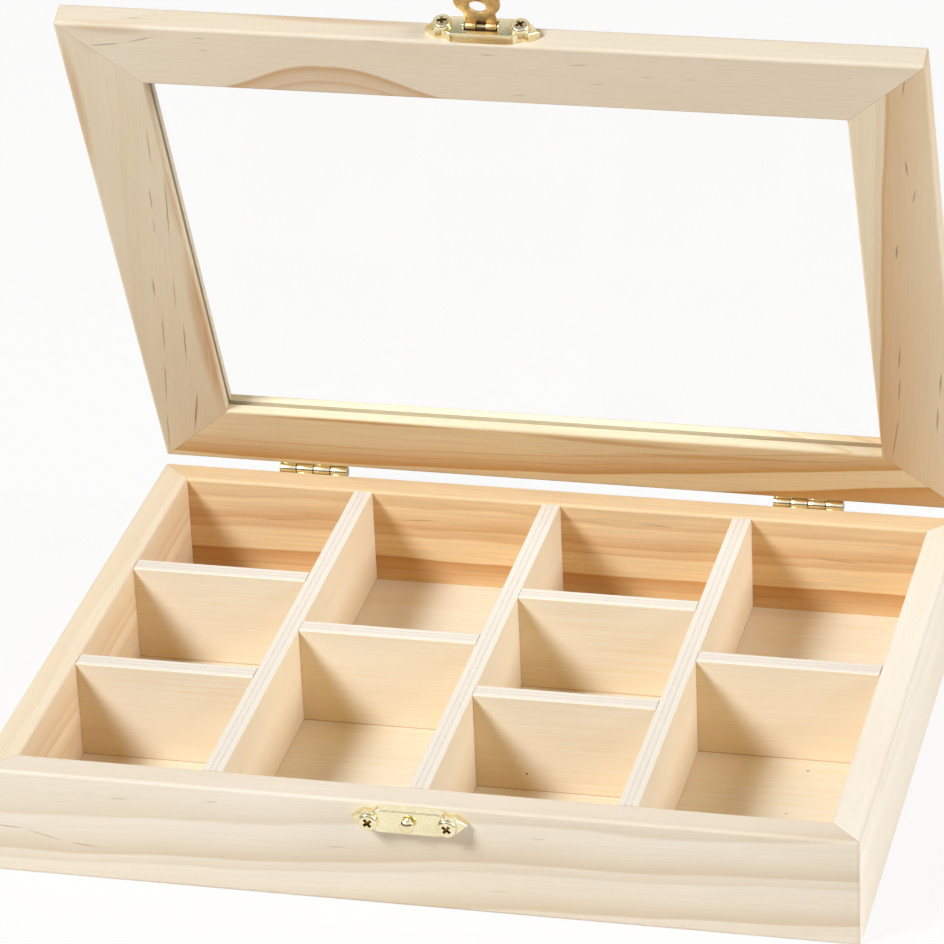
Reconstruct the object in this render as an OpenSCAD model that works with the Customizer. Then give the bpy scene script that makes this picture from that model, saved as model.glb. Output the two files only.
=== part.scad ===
// Hinged wooden box with a glazed lid and ten open compartments for wrapped tea bags.
// Four columns stand side by side: the first and third hold three compartments each,
// the second and fourth hold two. The lid is drawn open, as it stands in use.
// Frame: +X to the right, +Y to the rear, +Z up, the origin at the middle of the underside.

/* [Compartments] */
// Clear width of every compartment
cell_w = 64; // [50:1:90]
// Clear depth, front to rear, of a compartment in a column of three
cell_d = 64; // [50:1:90]
// Clear height of the compartments, floor to wall tops
cell_h = 36.5; // [28:0.5:80]
// Thickness of the plywood dividers
divider_t = 7; // [4:0.5:10]
// How far the divider tops lie below the wall tops
divider_drop = 0.3; // [0.1:0.1:3]
// Rounding along the top edges of the dividers
divider_edge_r = 0.5; // [0.2:0.1:1]

/* [Base walls] */
// Thickness of the four base walls
wall_t = 11.5; // [10:0.5:16]
// Rounding along the long edges of walls and rails
edge_r = 1.2; // [0.4:0.1:2]
// Rounding of the upright corners of base and lid
corner_r = 1.6; // [0.6:0.1:3]
// Thickness of the floor panel
floor_t = 3; // [2:0.5:5]
// How far the floor panel is let into each wall
floor_seat = 5; // [3:0.5:7]
// Play of the floor panel in its rebate, each side
floor_play = 0.2; // [0.1:0.05:0.5]

/* [Lid] */
// Thickness of the lid frame
lid_t = 9.5; // [9.5:0.5:16]
// Width of the lid rails
rail_w = 28; // [20:1:40]
// Thickness of the glass pane
glass_t = 2; // [1.5:0.5:3]
// Depth of the groove that holds the glass
glass_seat = 5; // [3:0.5:8]
// Play of the glass in its groove, each side
glass_play = 0.2; // [0.1:0.05:0.4]
// Angle from closed at which the lid stands open
open_angle = 66.8; // [45:0.1:110]
// Gap left between lid and wall tops when the lid is closed
lid_gap = 0.1; // [0.05:0.05:0.5]

/* [Hinges] */
// Length of a hinge along the rear edge
hinge_l = 26; // [20:1:36]
// Distance from the side of the box to the middle of a hinge
hinge_inset = 56.8; // [30:0.1:90]
// Radius of the hinge barrel
barrel_r = 2.2; // [1.8:0.1:2.6]
// Gap between the barrel and the rear faces of wall and rail
barrel_gap = 0.3; // [0.2:0.05:0.6]
// Radius of the hinge pin
hinge_pin_r = 0.8; // [0.5:0.1:1]
// Knuckles in one barrel, shared in turn by the lid leaf and the base leaf
knuckles = 4; // [2:1:6]
// Gap between neighbouring knuckles
knuckle_gap = 0.3; // [0.1:0.1:0.6]
// Thickness of the hinge leaves
leaf_t = 0.9; // [0.6:0.1:1.2]
// Height of a leaf, from the pin to its free edge
leaf_h = 8; // [7:0.5:8.5]
// Distance between the two screws of a leaf
leaf_screw_pitch = 16; // [12:1:17]
// Head radius of the hinge screws
leaf_screw_head_r = 1.6; // [1.3:0.1:1.8]
// Head height of the hinge screws
leaf_screw_head_h = 0.8; // [0.5:0.1:0.9]
// Shank radius of the hinge screws
leaf_screw_r = 0.8; // [0.6:0.1:1]
// Depth of the hinge screws in the wood
leaf_screw_depth = 7; // [4:0.5:8]

/* [Latch plates] */
// Length of a latch plate, tip to tip
plate_l = 39.4; // [37:0.1:48]
// Height of a latch plate
plate_h = 8.5; // [7.8:0.1:9]
// How far a latch plate stands out from the wood
plate_rise = 4; // [3:0.1:5]
// Sheet thickness of the latch plates
plate_t = 0.8; // [0.5:0.1:1]
// Slope of the pointed plate ends, height over length
tip_slope = 0.83; // [0.7:0.01:1]
// Radius of the four notches beside the plate tips
notch_r = 2.7; // [2:0.1:3]
// Distance of the notch centres from the middle of the plate
notch_x = 13.9; // [13:0.1:15]
// How far the notch centres lie outside the long plate edges
notch_out = 0.9; // [0:0.05:1.2]
// Depth of the middle of the catch plate below the wall tops
catch_drop = 4.95; // [4.8:0.05:12]
// Distance between the two screws of a latch plate
plate_screw_pitch = 26.8; // [26:0.1:29]
// Head radius of the latch screws
plate_screw_head_r = 3.4; // [2.6:0.1:3.6]
// Head height of the latch screws
plate_screw_head_h = 2; // [1.4:0.1:2.4]
// Shank radius of the latch screws
plate_screw_r = 1.25; // [0.9:0.05:1.5]
// Depth of the latch screws in the wood
plate_screw_depth = 7; // [4:0.5:8]

/* [Hasp and stud] */
// Head radius of the catch stud
stud_head_r = 2.5; // [2:0.1:2.6]
// Height of the domed head of the catch stud
stud_head_h = 1.6; // [1.2:0.1:2]
// Neck radius of the catch stud
stud_neck_r = 1.6; // [1.2:0.1:1.8]
// Free height between the lowered hasp loop and the stud head
stud_slack = 0.3; // [0.2:0.05:0.6]
// Radius of the rivet tail of the stud in the catch plate
stud_tail_r = 1.2; // [1:0.1:1.4]
// Radius of the upset end of the rivet tail, inside the plate
stud_upset_r = 1.8; // [1.6:0.1:2.4]
// Thickness of the upset end of the rivet tail
stud_upset_h = 0.6; // [0.4:0.1:1]
// Sheet thickness of the hasp loop
hasp_t = 1; // [0.8:0.1:1.2]
// Radius of the round body of the hasp loop
hasp_r = 8; // [7.5:0.1:9]
// How far the middle of the round body lies beyond the eye
hasp_bulge = 2.5; // [0:0.1:4]
// Width of the neck of the hasp loop, also the length of its barrel
hasp_neck_w = 10.8; // [9:0.1:12]
// Gap between the two knuckles of the hasp barrel
hasp_slot_w = 3.4; // [2.4:0.1:4]
// Width of the eye that drops over the stud
eye_w = 5.8; // [5.6:0.1:6.4]
// Height of the eye that drops over the stud
eye_h = 6.2; // [6:0.1:7]
// Length of the finger tab below the round body
tab_l = 1.5; // [1.5:0.1:6]
// Width of the finger tab
tab_w = 6; // [4:0.1:8]
// Radius of the hasp pin
hasp_pin_r = 0.6; // [0.5:0.05:0.8]
// Gap between the lowered hasp loop and the catch plate
hasp_gap = 0.35; // [0.3:0.05:0.6]
// Gap between the hasp barrel and the lugs that carry its pin
lug_gap = 0.3; // [0.2:0.05:0.5]
// Gap between the hasp barrel and the long sides of its window
window_gap = 0.9; // [0.5:0.1:1]
// Angle from lowered at which the hasp stands
hasp_angle = 82; // [60:1:100]

/* [Fits] */
// Radial clearance of a pin turning in its knuckles
pin_clearance = 0.05; // [0.02:0.01:0.08]
// Radial clearance of a screw in its hole
screw_clearance = 0.05; // [0.03:0.01:0.1]

/* [Hidden] */

$fn = 48;
columns = 4;
lug_foot = 0.4; // free height of the lugs above the wood
pin_end = 0.2; // how much shorter the hasp pin is than the span of its lugs
slot_relief = 0.6; // depth of the slot between the hasp knuckles, past the barrel
cut = 1; // overshoot of every cutting shape

// Overall sizes
inner_w = columns * cell_w + (columns - 1) * divider_t;
inner_d = 3 * cell_d + 2 * divider_t;
box_w = inner_w + 2 * wall_t;
box_d = inner_d + 2 * wall_t;
box_h = floor_t + cell_h;
divider_h = cell_h - divider_drop;

// Hinge axis, along X behind the rear faces, level with the gap between box and lid
axis_y = box_d / 2 + barrel_gap + barrel_r;
axis_z = box_h + lid_gap / 2;
lid_z = box_h + lid_gap;
knuckle_l = hinge_l / knuckles;
leaf_screw_z = (barrel_r + leaf_h) / 2;

// Latch: middles of the two plates, and the hasp pin
plate_z = lid_z + lid_t / 2;
catch_z = box_h - catch_drop;
hasp_barrel_r = hasp_pin_r + hasp_t;
hasp_pin_out = plate_rise + hasp_gap - hasp_pin_r;
hasp_reach = plate_z - catch_z;
hasp_body = hasp_reach + hasp_bulge;
hasp_end = hasp_body + hasp_r + tab_l;
window_w = hasp_neck_w + 2 * lug_gap;
window_h = 2 * (hasp_barrel_r + window_gap);
lug_r = hasp_pin_r + pin_clearance + plate_t;
lug_span = window_w + 2 * plate_t;
stud_neck_h = hasp_gap + hasp_t + stud_slack;

// Left side of a column's clear width, the columns counted from 0 at the left
function column_x(column) = -inner_w / 2 + column * (cell_w + divider_t);

// Placement of moving pieces, which are drawn closed

module lid_open() {
    translate([0, axis_y, axis_z]) rotate([-open_angle, 0, 0]) translate([0, -axis_y, -axis_z]) children();
}

module hasp_lifted() {
    translate([0, -box_d / 2 - hasp_pin_out, plate_z]) rotate([-hasp_angle, 0, 0]) children();
}

// Shared shapes

// Bar section with all four corners rounded
module rounded_section(w, h, r) {
    translate([r, 0]) square([w - 2 * r, h]);
    translate([0, r]) square([w, h - 2 * r]);
    for (x = [r, w - r], y = [r, h - r]) translate([x, y]) circle(r);
}

// Plan of one side of a mitred frame: outer face on the X axis, outer corners rounded
module mitre_plan(len, depth) {
    intersection() {
        polygon([[-len / 2, 0], [len / 2, 0], [len / 2 - depth, depth], [depth - len / 2, depth]]);
        union() {
            translate([corner_r - len / 2, 0]) square([len - 2 * corner_r, depth]);
            translate([-len / 2, corner_r]) square([len, depth]);
            for (x = [corner_r - len / 2, len / 2 - corner_r]) translate([x, corner_r]) circle(corner_r);
        }
    }
}

// One side of a mitred frame: its section, drawn as (depth, height), runs along X
module mitred_side(len, depth, height) {
    intersection() {
        translate([-len / 2, 0, 0]) rotate([90, 0, 90]) linear_extrude(len) children();
        linear_extrude(height) mitre_plan(len, depth);
    }
}

// Sides of a frame of the box's size: 0 front, 1 right, 2 rear, 3 left
module frame_side(side) {
    offset_y = side % 2 == 0 ? box_d / 2 : box_w / 2;
    rotate([0, 0, side * 90]) translate([0, -offset_y, 0]) children();
}

// Low dome of radius r and height h, standing on z = 0
module dome(r, h) {
    sphere_r = (r * r + h * h) / (2 * h);
    intersection() {
        translate([0, 0, h - sphere_r]) sphere(sphere_r);
        cylinder(h = h, r = r);
    }
}

// Round-headed screw along +Z, its head on the plane z = 0, with a cross recess
module screw(head_r, head_h, shank_r, length) {
    recess = head_r * 0.55;
    slot = head_r * 0.2;
    difference() {
        union() {
            dome(head_r, head_h);
            translate([0, 0, -length]) cylinder(h = length + head_h / 3, r = shank_r);
        }
        for (turn = [0, 90]) {
            rotate([0, 0, turn]) translate([-recess, -slot, head_h * 0.45])
                cube([2 * recess, 2 * slot, head_h]);
        }
    }
}

// Base walls

module wall_section() {
    difference() {
        union() {
            rounded_section(wall_t, box_h, edge_r);
            translate([wall_t - edge_r, 0]) square(edge_r);
        }
        translate([wall_t - floor_seat, -cut]) square([floor_seat + cut, floor_t + cut]);
    }
}

module wall(side) {
    len = side % 2 == 0 ? box_w : box_d;
    frame_side(side) mitred_side(len, wall_t, box_h) wall_section();
}

module front_wall() {
    color("wheat") difference() {
        wall(0);
        at_catch_screws() screw_hole(plate_screw_r, plate_screw_depth);
    }
}

module rear_wall() {
    color("wheat") difference() {
        wall(2);
        at_base_leaf_screws() screw_hole(leaf_screw_r, leaf_screw_depth);
    }
}

module left_wall() {
    color("wheat") wall(3);
}

module right_wall() {
    color("wheat") wall(1);
}

module floor_panel() {
    let_in = floor_seat - floor_play;
    color("palegoldenrod") translate([-inner_w / 2 - let_in, -inner_d / 2 - let_in, 0])
        cube([inner_w + 2 * let_in, inner_d + 2 * let_in, floor_t]);
}

// Hole for a screw, opening at z = 0 and running down
module screw_hole(shank_r, depth) {
    translate([0, 0, -depth - screw_clearance])
        cylinder(h = depth + screw_clearance + plate_rise + cut, r = shank_r + screw_clearance);
}

// Dividers

module divider_section() {
    r = divider_edge_r;
    square([divider_t, divider_h - r]);
    translate([r, 0]) square([divider_t - 2 * r, divider_h]);
    for (x = [r, divider_t - r]) translate([x, divider_h - r]) circle(r);
}

module long_divider(column) {
    color("cornsilk") translate([column_x(column), -inner_d / 2, floor_t])
        rotate([90, 0, 180]) linear_extrude(inner_d) divider_section();
}

// The place counts compartment pitches of a column of three, forward or back from the middle
module cross_divider(column, place) {
    color("cornsilk") translate([column_x(column), place * (cell_d + divider_t) - divider_t / 2, floor_t])
        rotate([90, 0, 90]) linear_extrude(cell_w) divider_section();
}

// Lid frame and glass

module rail_section() {
    slot = glass_t + 2 * glass_play;
    difference() {
        rounded_section(rail_w, lid_t, edge_r);
        translate([rail_w - glass_seat, lid_t / 2 - slot / 2]) square([glass_seat + cut, slot]);
    }
}

module rail(side) {
    len = side % 2 == 0 ? box_w : box_d;
    translate([0, 0, lid_z]) frame_side(side) mitred_side(len, rail_w, lid_t) rail_section();
}

module lid_front_rail() {
    color("burlywood") lid_open() difference() {
        rail(0);
        at_hasp_screws() screw_hole(plate_screw_r, plate_screw_depth);
    }
}

module lid_rear_rail() {
    color("burlywood") lid_open() difference() {
        rail(2);
        at_lid_leaf_screws() screw_hole(leaf_screw_r, leaf_screw_depth);
    }
}

module lid_left_rail() {
    color("burlywood") lid_open() rail(3);
}

module lid_right_rail() {
    color("burlywood") lid_open() rail(1);
}

module glass_pane() {
    let_in = rail_w - glass_seat + glass_play;
    color("lightcyan", 0.35) lid_open()
        translate([let_in - box_w / 2, let_in - box_d / 2, lid_z + (lid_t - glass_t) / 2])
            cube([box_w - 2 * let_in, box_d - 2 * let_in, glass_t]);
}

// Hinges: the first knuckle from the left is the lid's

module at_hinge(side) {
    translate([side * (box_w / 2 - hinge_inset), axis_y, axis_z]) children();
}

module along_x(len, r) {
    rotate([0, 90, 0]) cylinder(h = len, r = r, center = true);
}

// Knuckles of one leaf, r wide, each longer than its own length by grow at both ends
module knuckle_row(first, r, grow) {
    for (k = [first : 2 : knuckles - 1]) {
        translate([(k + 0.5) * knuckle_l - hinge_l / 2, 0, 0])
            along_x(knuckle_l - knuckle_gap + 2 * grow, r);
    }
}

// Leaf that hangs below the pin; up = -1 turns it to stand above
module leaf(first, up) {
    other = 1 - first;
    difference() {
        union() {
            translate([-hinge_l / 2, -barrel_r - barrel_gap, up > 0 ? -leaf_h : 0])
                cube([hinge_l, leaf_t, leaf_h]);
            knuckle_row(first, barrel_r, 0);
        }
        along_x(hinge_l + 2 * cut, hinge_pin_r + pin_clearance);
        knuckle_row(other, barrel_r + barrel_gap, knuckle_gap);
        for (x = [-leaf_screw_pitch / 2, leaf_screw_pitch / 2]) {
            translate([x, 0, -up * leaf_screw_z]) rotate([90, 0, 0])
                cylinder(h = barrel_r + barrel_gap + cut, r = leaf_screw_r + screw_clearance);
        }
    }
}

module base_leaf(side) {
    color("gold") at_hinge(side) leaf(1, 1);
}

module lid_leaf(side) {
    color("gold") lid_open() at_hinge(side) leaf(0, -1);
}

module hinge_pin(side) {
    color("goldenrod") at_hinge(side) along_x(hinge_l - knuckle_gap, hinge_pin_r);
}

// Screw places on the rear faces: below the pin on the wall, above it on the lid rail
module at_rear_screws(z) {
    for (side = [-1, 1], half = [-1, 1]) {
        translate([side * (box_w / 2 - hinge_inset) + half * leaf_screw_pitch / 2, box_d / 2, z])
            rotate([-90, 0, 0]) children();
    }
}

module at_base_leaf_screws() {
    at_rear_screws(axis_z - leaf_screw_z) children();
}

module at_lid_leaf_screws() {
    at_rear_screws(axis_z + leaf_screw_z) children();
}

module leaf_screw() {
    translate([0, 0, leaf_t])
        screw(leaf_screw_head_r, leaf_screw_head_h, leaf_screw_r, leaf_t + leaf_screw_depth);
}

module base_leaf_screws() {
    color("khaki") at_base_leaf_screws() leaf_screw();
}

module lid_leaf_screws() {
    color("khaki") lid_open() at_lid_leaf_screws() leaf_screw();
}

// Latch plates: pressed shells with pointed ends and notched shoulders

// Outline about the middle of the plate, drawn in by inset all round
module plate_outline(inset) {
    half_h = plate_h / 2 - inset;
    tip = plate_l / 2 - inset * sqrt(1 + 1 / (tip_slope * tip_slope));
    shoulder = tip - half_h / tip_slope;
    difference() {
        polygon([[tip, 0], [shoulder, half_h], [-shoulder, half_h],
            [-tip, 0], [-shoulder, -half_h], [shoulder, -half_h]]);
        for (x = [-notch_x, notch_x], y = [-1, 1]) {
            translate([x, y * (plate_h / 2 + notch_out)]) circle(notch_r + inset);
        }
    }
}

module plate_shell() {
    difference() {
        linear_extrude(plate_rise) plate_outline(0);
        translate([0, 0, -cut]) linear_extrude(plate_rise - plate_t + cut) plate_outline(plate_t);
        at_plate_screws() translate([0, 0, -plate_rise]) screw_hole(plate_screw_r, plate_t);
    }
}

// Screw places on the raised face of a plate
module at_plate_screws() {
    for (x = [-plate_screw_pitch / 2, plate_screw_pitch / 2]) translate([x, 0, plate_rise]) children();
}

module plate_screw() {
    screw(plate_screw_head_r, plate_screw_head_h, plate_screw_r, plate_rise + plate_screw_depth);
}

// Front face of box or lid at height z: local +Z points out of the wood
module on_front(z) {
    translate([0, -box_d / 2, z]) rotate([90, 0, 0]) children();
}

module at_catch_screws() {
    on_front(catch_z) at_plate_screws() translate([0, 0, -plate_rise]) children();
}

module at_hasp_screws() {
    on_front(plate_z) at_plate_screws() translate([0, 0, -plate_rise]) children();
}

module catch_plate() {
    color("lightgoldenrodyellow") on_front(catch_z) difference() {
        plate_shell();
        translate([0, 0, plate_rise - plate_t - cut])
            cylinder(h = plate_t + 2 * cut, r = stud_tail_r + screw_clearance);
    }
}

// Riveted stud: tail inside the plate, neck and domed head outside it
module catch_stud() {
    color("gold") on_front(catch_z) {
        translate([0, 0, plate_rise - plate_t - stud_upset_h]) cylinder(h = stud_upset_h, r = stud_upset_r);
        translate([0, 0, plate_rise - plate_t]) cylinder(h = plate_t, r = stud_tail_r);
        translate([0, 0, plate_rise]) cylinder(h = stud_neck_h, r = stud_neck_r);
        translate([0, 0, plate_rise + stud_neck_h]) dome(stud_head_r, stud_head_h);
    }
}

module catch_screws() {
    color("khaki") on_front(catch_z) at_plate_screws() plate_screw();
}

// Lug at one end of the window, standing proud of the plate to carry the hasp pin
module hasp_lug() {
    translate([window_w / 2, -lug_r, lug_foot]) cube([plate_t, 2 * lug_r, hasp_pin_out - lug_foot]);
    translate([(window_w + plate_t) / 2, 0, hasp_pin_out]) along_x(plate_t, lug_r);
}

// Plate on the lid, with a window for the hasp barrel
module hasp_plate() {
    color("lightgoldenrodyellow") lid_open() on_front(plate_z) difference() {
        union() {
            difference() {
                plate_shell();
                translate([-window_w / 2, -window_h / 2, -cut])
                    cube([window_w, window_h, plate_rise + 2 * cut]);
            }
            hasp_lug();
            mirror([1, 0, 0]) hasp_lug();
        }
        translate([0, 0, hasp_pin_out]) along_x(lug_span, hasp_pin_r + pin_clearance);
    }
}

module hasp_screws() {
    color("khaki") lid_open() on_front(plate_z) at_plate_screws() plate_screw();
}

module hasp_pin() {
    color("goldenrod") lid_open() on_front(plate_z)
        translate([0, 0, hasp_pin_out]) along_x(lug_span - pin_end, hasp_pin_r);
}

// Outline of the hasp loop, hanging from the pin at its origin
module hasp_outline() {
    difference() {
        union() {
            translate([-hasp_neck_w / 2, -hasp_reach]) square([hasp_neck_w, hasp_reach]);
            translate([0, -hasp_body]) circle(hasp_r);
            translate([-tab_w / 2, -hasp_end]) square([tab_w, hasp_end - hasp_body]);
        }
        translate([-hasp_slot_w / 2, -hasp_barrel_r - slot_relief])
            square([hasp_slot_w, hasp_barrel_r + slot_relief + cut]);
        for (y = [-1, 1]) translate([0, y * (eye_h - eye_w) / 2 - hasp_reach]) circle(eye_w / 2);
        translate([-eye_w / 2, -(eye_h - eye_w) / 2 - hasp_reach]) square([eye_w, eye_h - eye_w]);
    }
}

module hasp_loop() {
    barrel_l = (hasp_neck_w - hasp_slot_w) / 2;
    color("gold") lid_open() hasp_lifted() difference() {
        union() {
            rotate([90, 0, 0]) translate([0, 0, hasp_pin_r]) linear_extrude(hasp_t) hasp_outline();
            for (x = [-1, 1]) {
                translate([x * (hasp_slot_w + barrel_l) / 2, 0, 0])
                    along_x(barrel_l, hasp_barrel_r);
            }
            translate([0, -hasp_barrel_r, -hasp_end]) along_x(tab_w, hasp_t);
        }
        along_x(hasp_neck_w + 2 * cut, hasp_pin_r + pin_clearance);
    }
}

front_wall();
rear_wall();
left_wall();
right_wall();
floor_panel();
long_divider(1);  // long_divider_1
long_divider(2);  // long_divider_2
long_divider(3);  // long_divider_3
cross_divider(0, -0.5);  // cross_divider_1
cross_divider(0, 0.5);  // cross_divider_2
cross_divider(1, 0);  // cross_divider_3
cross_divider(2, -0.5);  // cross_divider_4
cross_divider(2, 0.5);  // cross_divider_5
cross_divider(3, 0);  // cross_divider_6
base_leaf(-1);  // base_leaf_left
base_leaf(1);  // base_leaf_right
hinge_pin(-1);  // hinge_pin_left
hinge_pin(1);  // hinge_pin_right
base_leaf_screws();
catch_plate();
catch_stud();
catch_screws();
lid_front_rail();
lid_rear_rail();
lid_left_rail();
lid_right_rail();
glass_pane();
lid_leaf(-1);  // lid_leaf_left
lid_leaf(1);  // lid_leaf_right
lid_leaf_screws();
hasp_plate();
hasp_screws();
hasp_pin();
hasp_loop();
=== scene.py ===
"""Looks of a hinged, glazed wooden box with ten open compartments for wrapped tea bags.

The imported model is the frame: walls, rails, dividers, floor and glass keep their solids and get
their finishes here. The pressed latch plates, the hasp loop, the stud, the screws and the hinge
leaves are built again with bends, rolled edges and cross recesses, where the solids are.
Sizes are in millimetres in every class and are brought to metres when a piece is finished.
"""

import logging
import math
from dataclasses import dataclass, field
from enum import Enum
from typing import Any, Iterable, Sequence

import bmesh
import bpy
from mathutils import Euler, Matrix, Vector


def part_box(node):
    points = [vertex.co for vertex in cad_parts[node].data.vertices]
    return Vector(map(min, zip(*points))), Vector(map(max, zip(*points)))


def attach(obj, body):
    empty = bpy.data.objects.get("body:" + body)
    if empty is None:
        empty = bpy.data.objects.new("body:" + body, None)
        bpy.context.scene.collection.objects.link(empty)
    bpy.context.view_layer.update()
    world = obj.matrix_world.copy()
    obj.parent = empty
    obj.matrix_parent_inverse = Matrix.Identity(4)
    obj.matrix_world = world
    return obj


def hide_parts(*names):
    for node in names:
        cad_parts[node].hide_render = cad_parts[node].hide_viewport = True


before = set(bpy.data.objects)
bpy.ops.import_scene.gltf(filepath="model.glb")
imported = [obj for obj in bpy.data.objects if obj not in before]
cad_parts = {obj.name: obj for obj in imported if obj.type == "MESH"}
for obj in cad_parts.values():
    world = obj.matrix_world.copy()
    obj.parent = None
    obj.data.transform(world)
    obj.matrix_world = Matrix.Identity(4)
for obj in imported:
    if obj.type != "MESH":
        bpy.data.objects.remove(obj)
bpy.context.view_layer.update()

LOG = logging.getLogger("tea_box")
Triple = tuple[float, float, float]
Colour = tuple[float, float, float, float]
Speck = tuple[float, float, float, float]
Shape = bmesh.types.BMesh
Vertex = bmesh.types.BMVert
Edge = bmesh.types.BMEdge
Socket = bpy.types.NodeSocket

MM = 0.001
# Vertex layer that paints shade on knuckle ends and in screw recesses.
PAINTED_SHADE = "painted_shade"
# Painted shade: diffuse rays see the wood's colour multiplied by this, which deepens and warms the shade in
# the cells.
BOUNCE: Colour = (0.9, 0.7, 0.42, 1.0)
WHITE: Colour = (1.0, 1.0, 1.0, 1.0)
CREASE = math.radians(38)
UP = Vector((0.0, 0.0, 1.0))


def paint(red: int, green: int, blue: int) -> Colour:
    """Turn a display colour of 0 to 255 a channel into the linear colour that sockets take.

    Args:
        red: Display red.
        green: Display green.
        blue: Display blue.

    Returns:
        The linear colour with full alpha.
    """
    channels = (c / 255 for c in (red, green, blue))
    linear = [c / 12.92 if c <= 0.04045 else ((c + 0.055) / 1.055) ** 2.4 for c in channels]
    return (linear[0], linear[1], linear[2], 1.0)


class Slot(Enum):
    """Material slots of the pieces that are built here."""

    BRIGHT_BRASS = "bright_brass"
    FROSTED_BRASS = "frosted_brass"


class Side(Enum):
    """Sides of the box, in quarter turns from the front as seen from above."""

    FRONT = 0
    RIGHT = 1
    REAR = 2
    LEFT = 3


# --- Box sizes that several pieces share ------------------------------------------------------


@dataclass(frozen=True)
class BoxSizes:
    """Sizes of base and lid, in millimetres, as the solids have them."""

    width: float = 300.0
    depth: float = 229.0
    height: float = 39.5
    wall: float = 11.5
    floor: float = 3.0
    rail: float = 28.0
    lid: float = 9.5
    divider: float = 7.0
    lid_gap: float = 0.1
    open_angle: float = 66.8
    axis_y: float = 117.0
    hinge_middle: float = 93.2

    @property
    def axis_z(self) -> float:
        """Height of the hinge axis."""
        return self.height + self.lid_gap / 2

    def lid_place(self) -> Matrix:
        """Give the turn that takes a piece drawn with the lid closed to the open lid."""
        axis = Vector((0.0, self.axis_y, self.axis_z))
        turn = Matrix.Rotation(math.radians(-self.open_angle), 4, "X")
        return Matrix.Translation(axis) @ turn @ Matrix.Translation(-axis)

    def on_front(self, height: float) -> Matrix:
        """Give the place on the front faces at a height, with local Z out of the wood."""
        return Matrix.Translation((0.0, -self.depth / 2, height)) @ Matrix.Rotation(math.pi / 2, 4, "X")


BOX = BoxSizes()


# --- Node graphs ------------------------------------------------------------------------------


class Graph:
    """Nodes of one material or of the background, made with short calls."""

    def __init__(self, holder: bpy.types.Material | bpy.types.World) -> None:
        """Start without nodes.

        Args:
            holder: New material or background that gets the nodes.
        """
        self.holder = holder
        holder.use_nodes = True
        self.tree = holder.node_tree
        self.tree.nodes.clear()

    @classmethod
    def of_material(cls, name: str) -> "Graph":
        """Start the nodes of a new material."""
        return cls(bpy.data.materials.new(name))

    def add(self, kind: str, inputs: dict[Any, Any] | None = None, **settings: Any) -> bpy.types.Node:
        """Add a node.

        Args:
            kind: Type name of the node.
            inputs: Values or output sockets for its inputs, by name or number.
            settings: Properties of the node.

        Returns:
            The new node.
        """
        node = self.tree.nodes.new(kind)
        for key, value in settings.items():
            setattr(node, key, value)
        for key, value in (inputs or {}).items():
            if isinstance(value, Socket):
                self.tree.links.new(value, node.inputs[key])
            else:
                node.inputs[key].default_value = value
        return node

    def millimetres(self) -> Socket:
        """Add the object's own coordinates, in millimetres."""
        source = self.add("ShaderNodeTexCoord").outputs["Object"]
        return self.add("ShaderNodeMapping", {"Vector": source, "Scale": (1 / MM,) * 3}).outputs[0]

    def calc(self, operation: str, *values: Any) -> Socket:
        """Add a Math node and return its result."""
        return self.add("ShaderNodeMath", dict(enumerate(values)), operation=operation).outputs[0]

    def remap(self, value: Any, low: float, high: float, to_low: float, to_high: float,
              smooth: bool = False) -> Socket:
        """Carry a value from one range to another, held at its ends.

        Args:
            value: Socket to carry over.
            low: Start of its range.
            high: End of its range.
            to_low: Result at the start.
            to_high: Result at the end.
            smooth: Ease both ends.

        Returns:
            The result's socket.
        """
        node = self.add("ShaderNodeMapRange", {0: value, 1: low, 2: high, 3: to_low, 4: to_high},
                        interpolation_type="SMOOTHSTEP" if smooth else "LINEAR")
        return node.outputs[0]

    def mix(self, factor: Any, first: Any, second: Any, blend: str = "MIX") -> Socket:
        """Mix two colours.

        Args:
            factor: Share of the second colour.
            first: First colour.
            second: Second colour.
            blend: Blend mode.

        Returns:
            The mixed colour's socket.
        """
        inputs = {0: factor, 6: first, 7: second}
        return self.add("ShaderNodeMix", inputs, data_type="RGBA", blend_type=blend).outputs[2]

    def ramp(self, factor: Any, stops: Sequence[tuple[float, float]]) -> Socket:
        """Shape a value with a ramp of greys.

        Args:
            factor: Value to shape.
            stops: Place and grey of each stop.

        Returns:
            The shaped value's socket.
        """
        node = self.add("ShaderNodeValToRGB", {0: factor})
        elements = node.color_ramp.elements
        while len(elements) < len(stops):
            elements.new(0.5)
        for element, (place, grey) in zip(elements, stops):
            element.position = place
            element.color = (grey, grey, grey, 1.0)
        return node.outputs[0]

    def stretched(self, place: Any, cell: Triple,
                  shift: Triple = (0.0, 0.0, 0.0)) -> Socket:
        """Divide a place by a cell's size, so that a pattern has cells of that size.

        Args:
            place: Vector socket, in millimetres.
            cell: Size of a cell, in millimetres.
            shift: Shift of the pattern, in cells.

        Returns:
            The vector socket to feed a texture with.
        """
        scale = tuple(1 / c for c in cell)
        return self.add("ShaderNodeMapping", {"Vector": place, "Scale": scale, "Location": shift}).outputs[0]

    def noise(self, place: Any, detail: float = 2.0, roughness: float = 0.5) -> Socket:
        """Add soft noise of one cell a unit and return its value, about 0.5 in the middle."""
        inputs = {"Vector": place, "Scale": 1.0, "Detail": detail, "Roughness": roughness}
        return self.add("ShaderNodeTexNoise", inputs).outputs[0]

    def bump(self, strength: float, depth: float, height: Any) -> Socket:
        """Add a Bump node, its depth in metres, and return its normal."""
        values = {"Strength": strength, "Distance": depth, "Height": height}
        return self.add("ShaderNodeBump", values).outputs[0]

    def surface(self, shader: Socket) -> bpy.types.Material:
        """Set the surface shader and return the material."""
        self.add("ShaderNodeOutputMaterial", {"Surface": shader})
        return self.holder


# --- Finishes ---------------------------------------------------------------------------------


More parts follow.
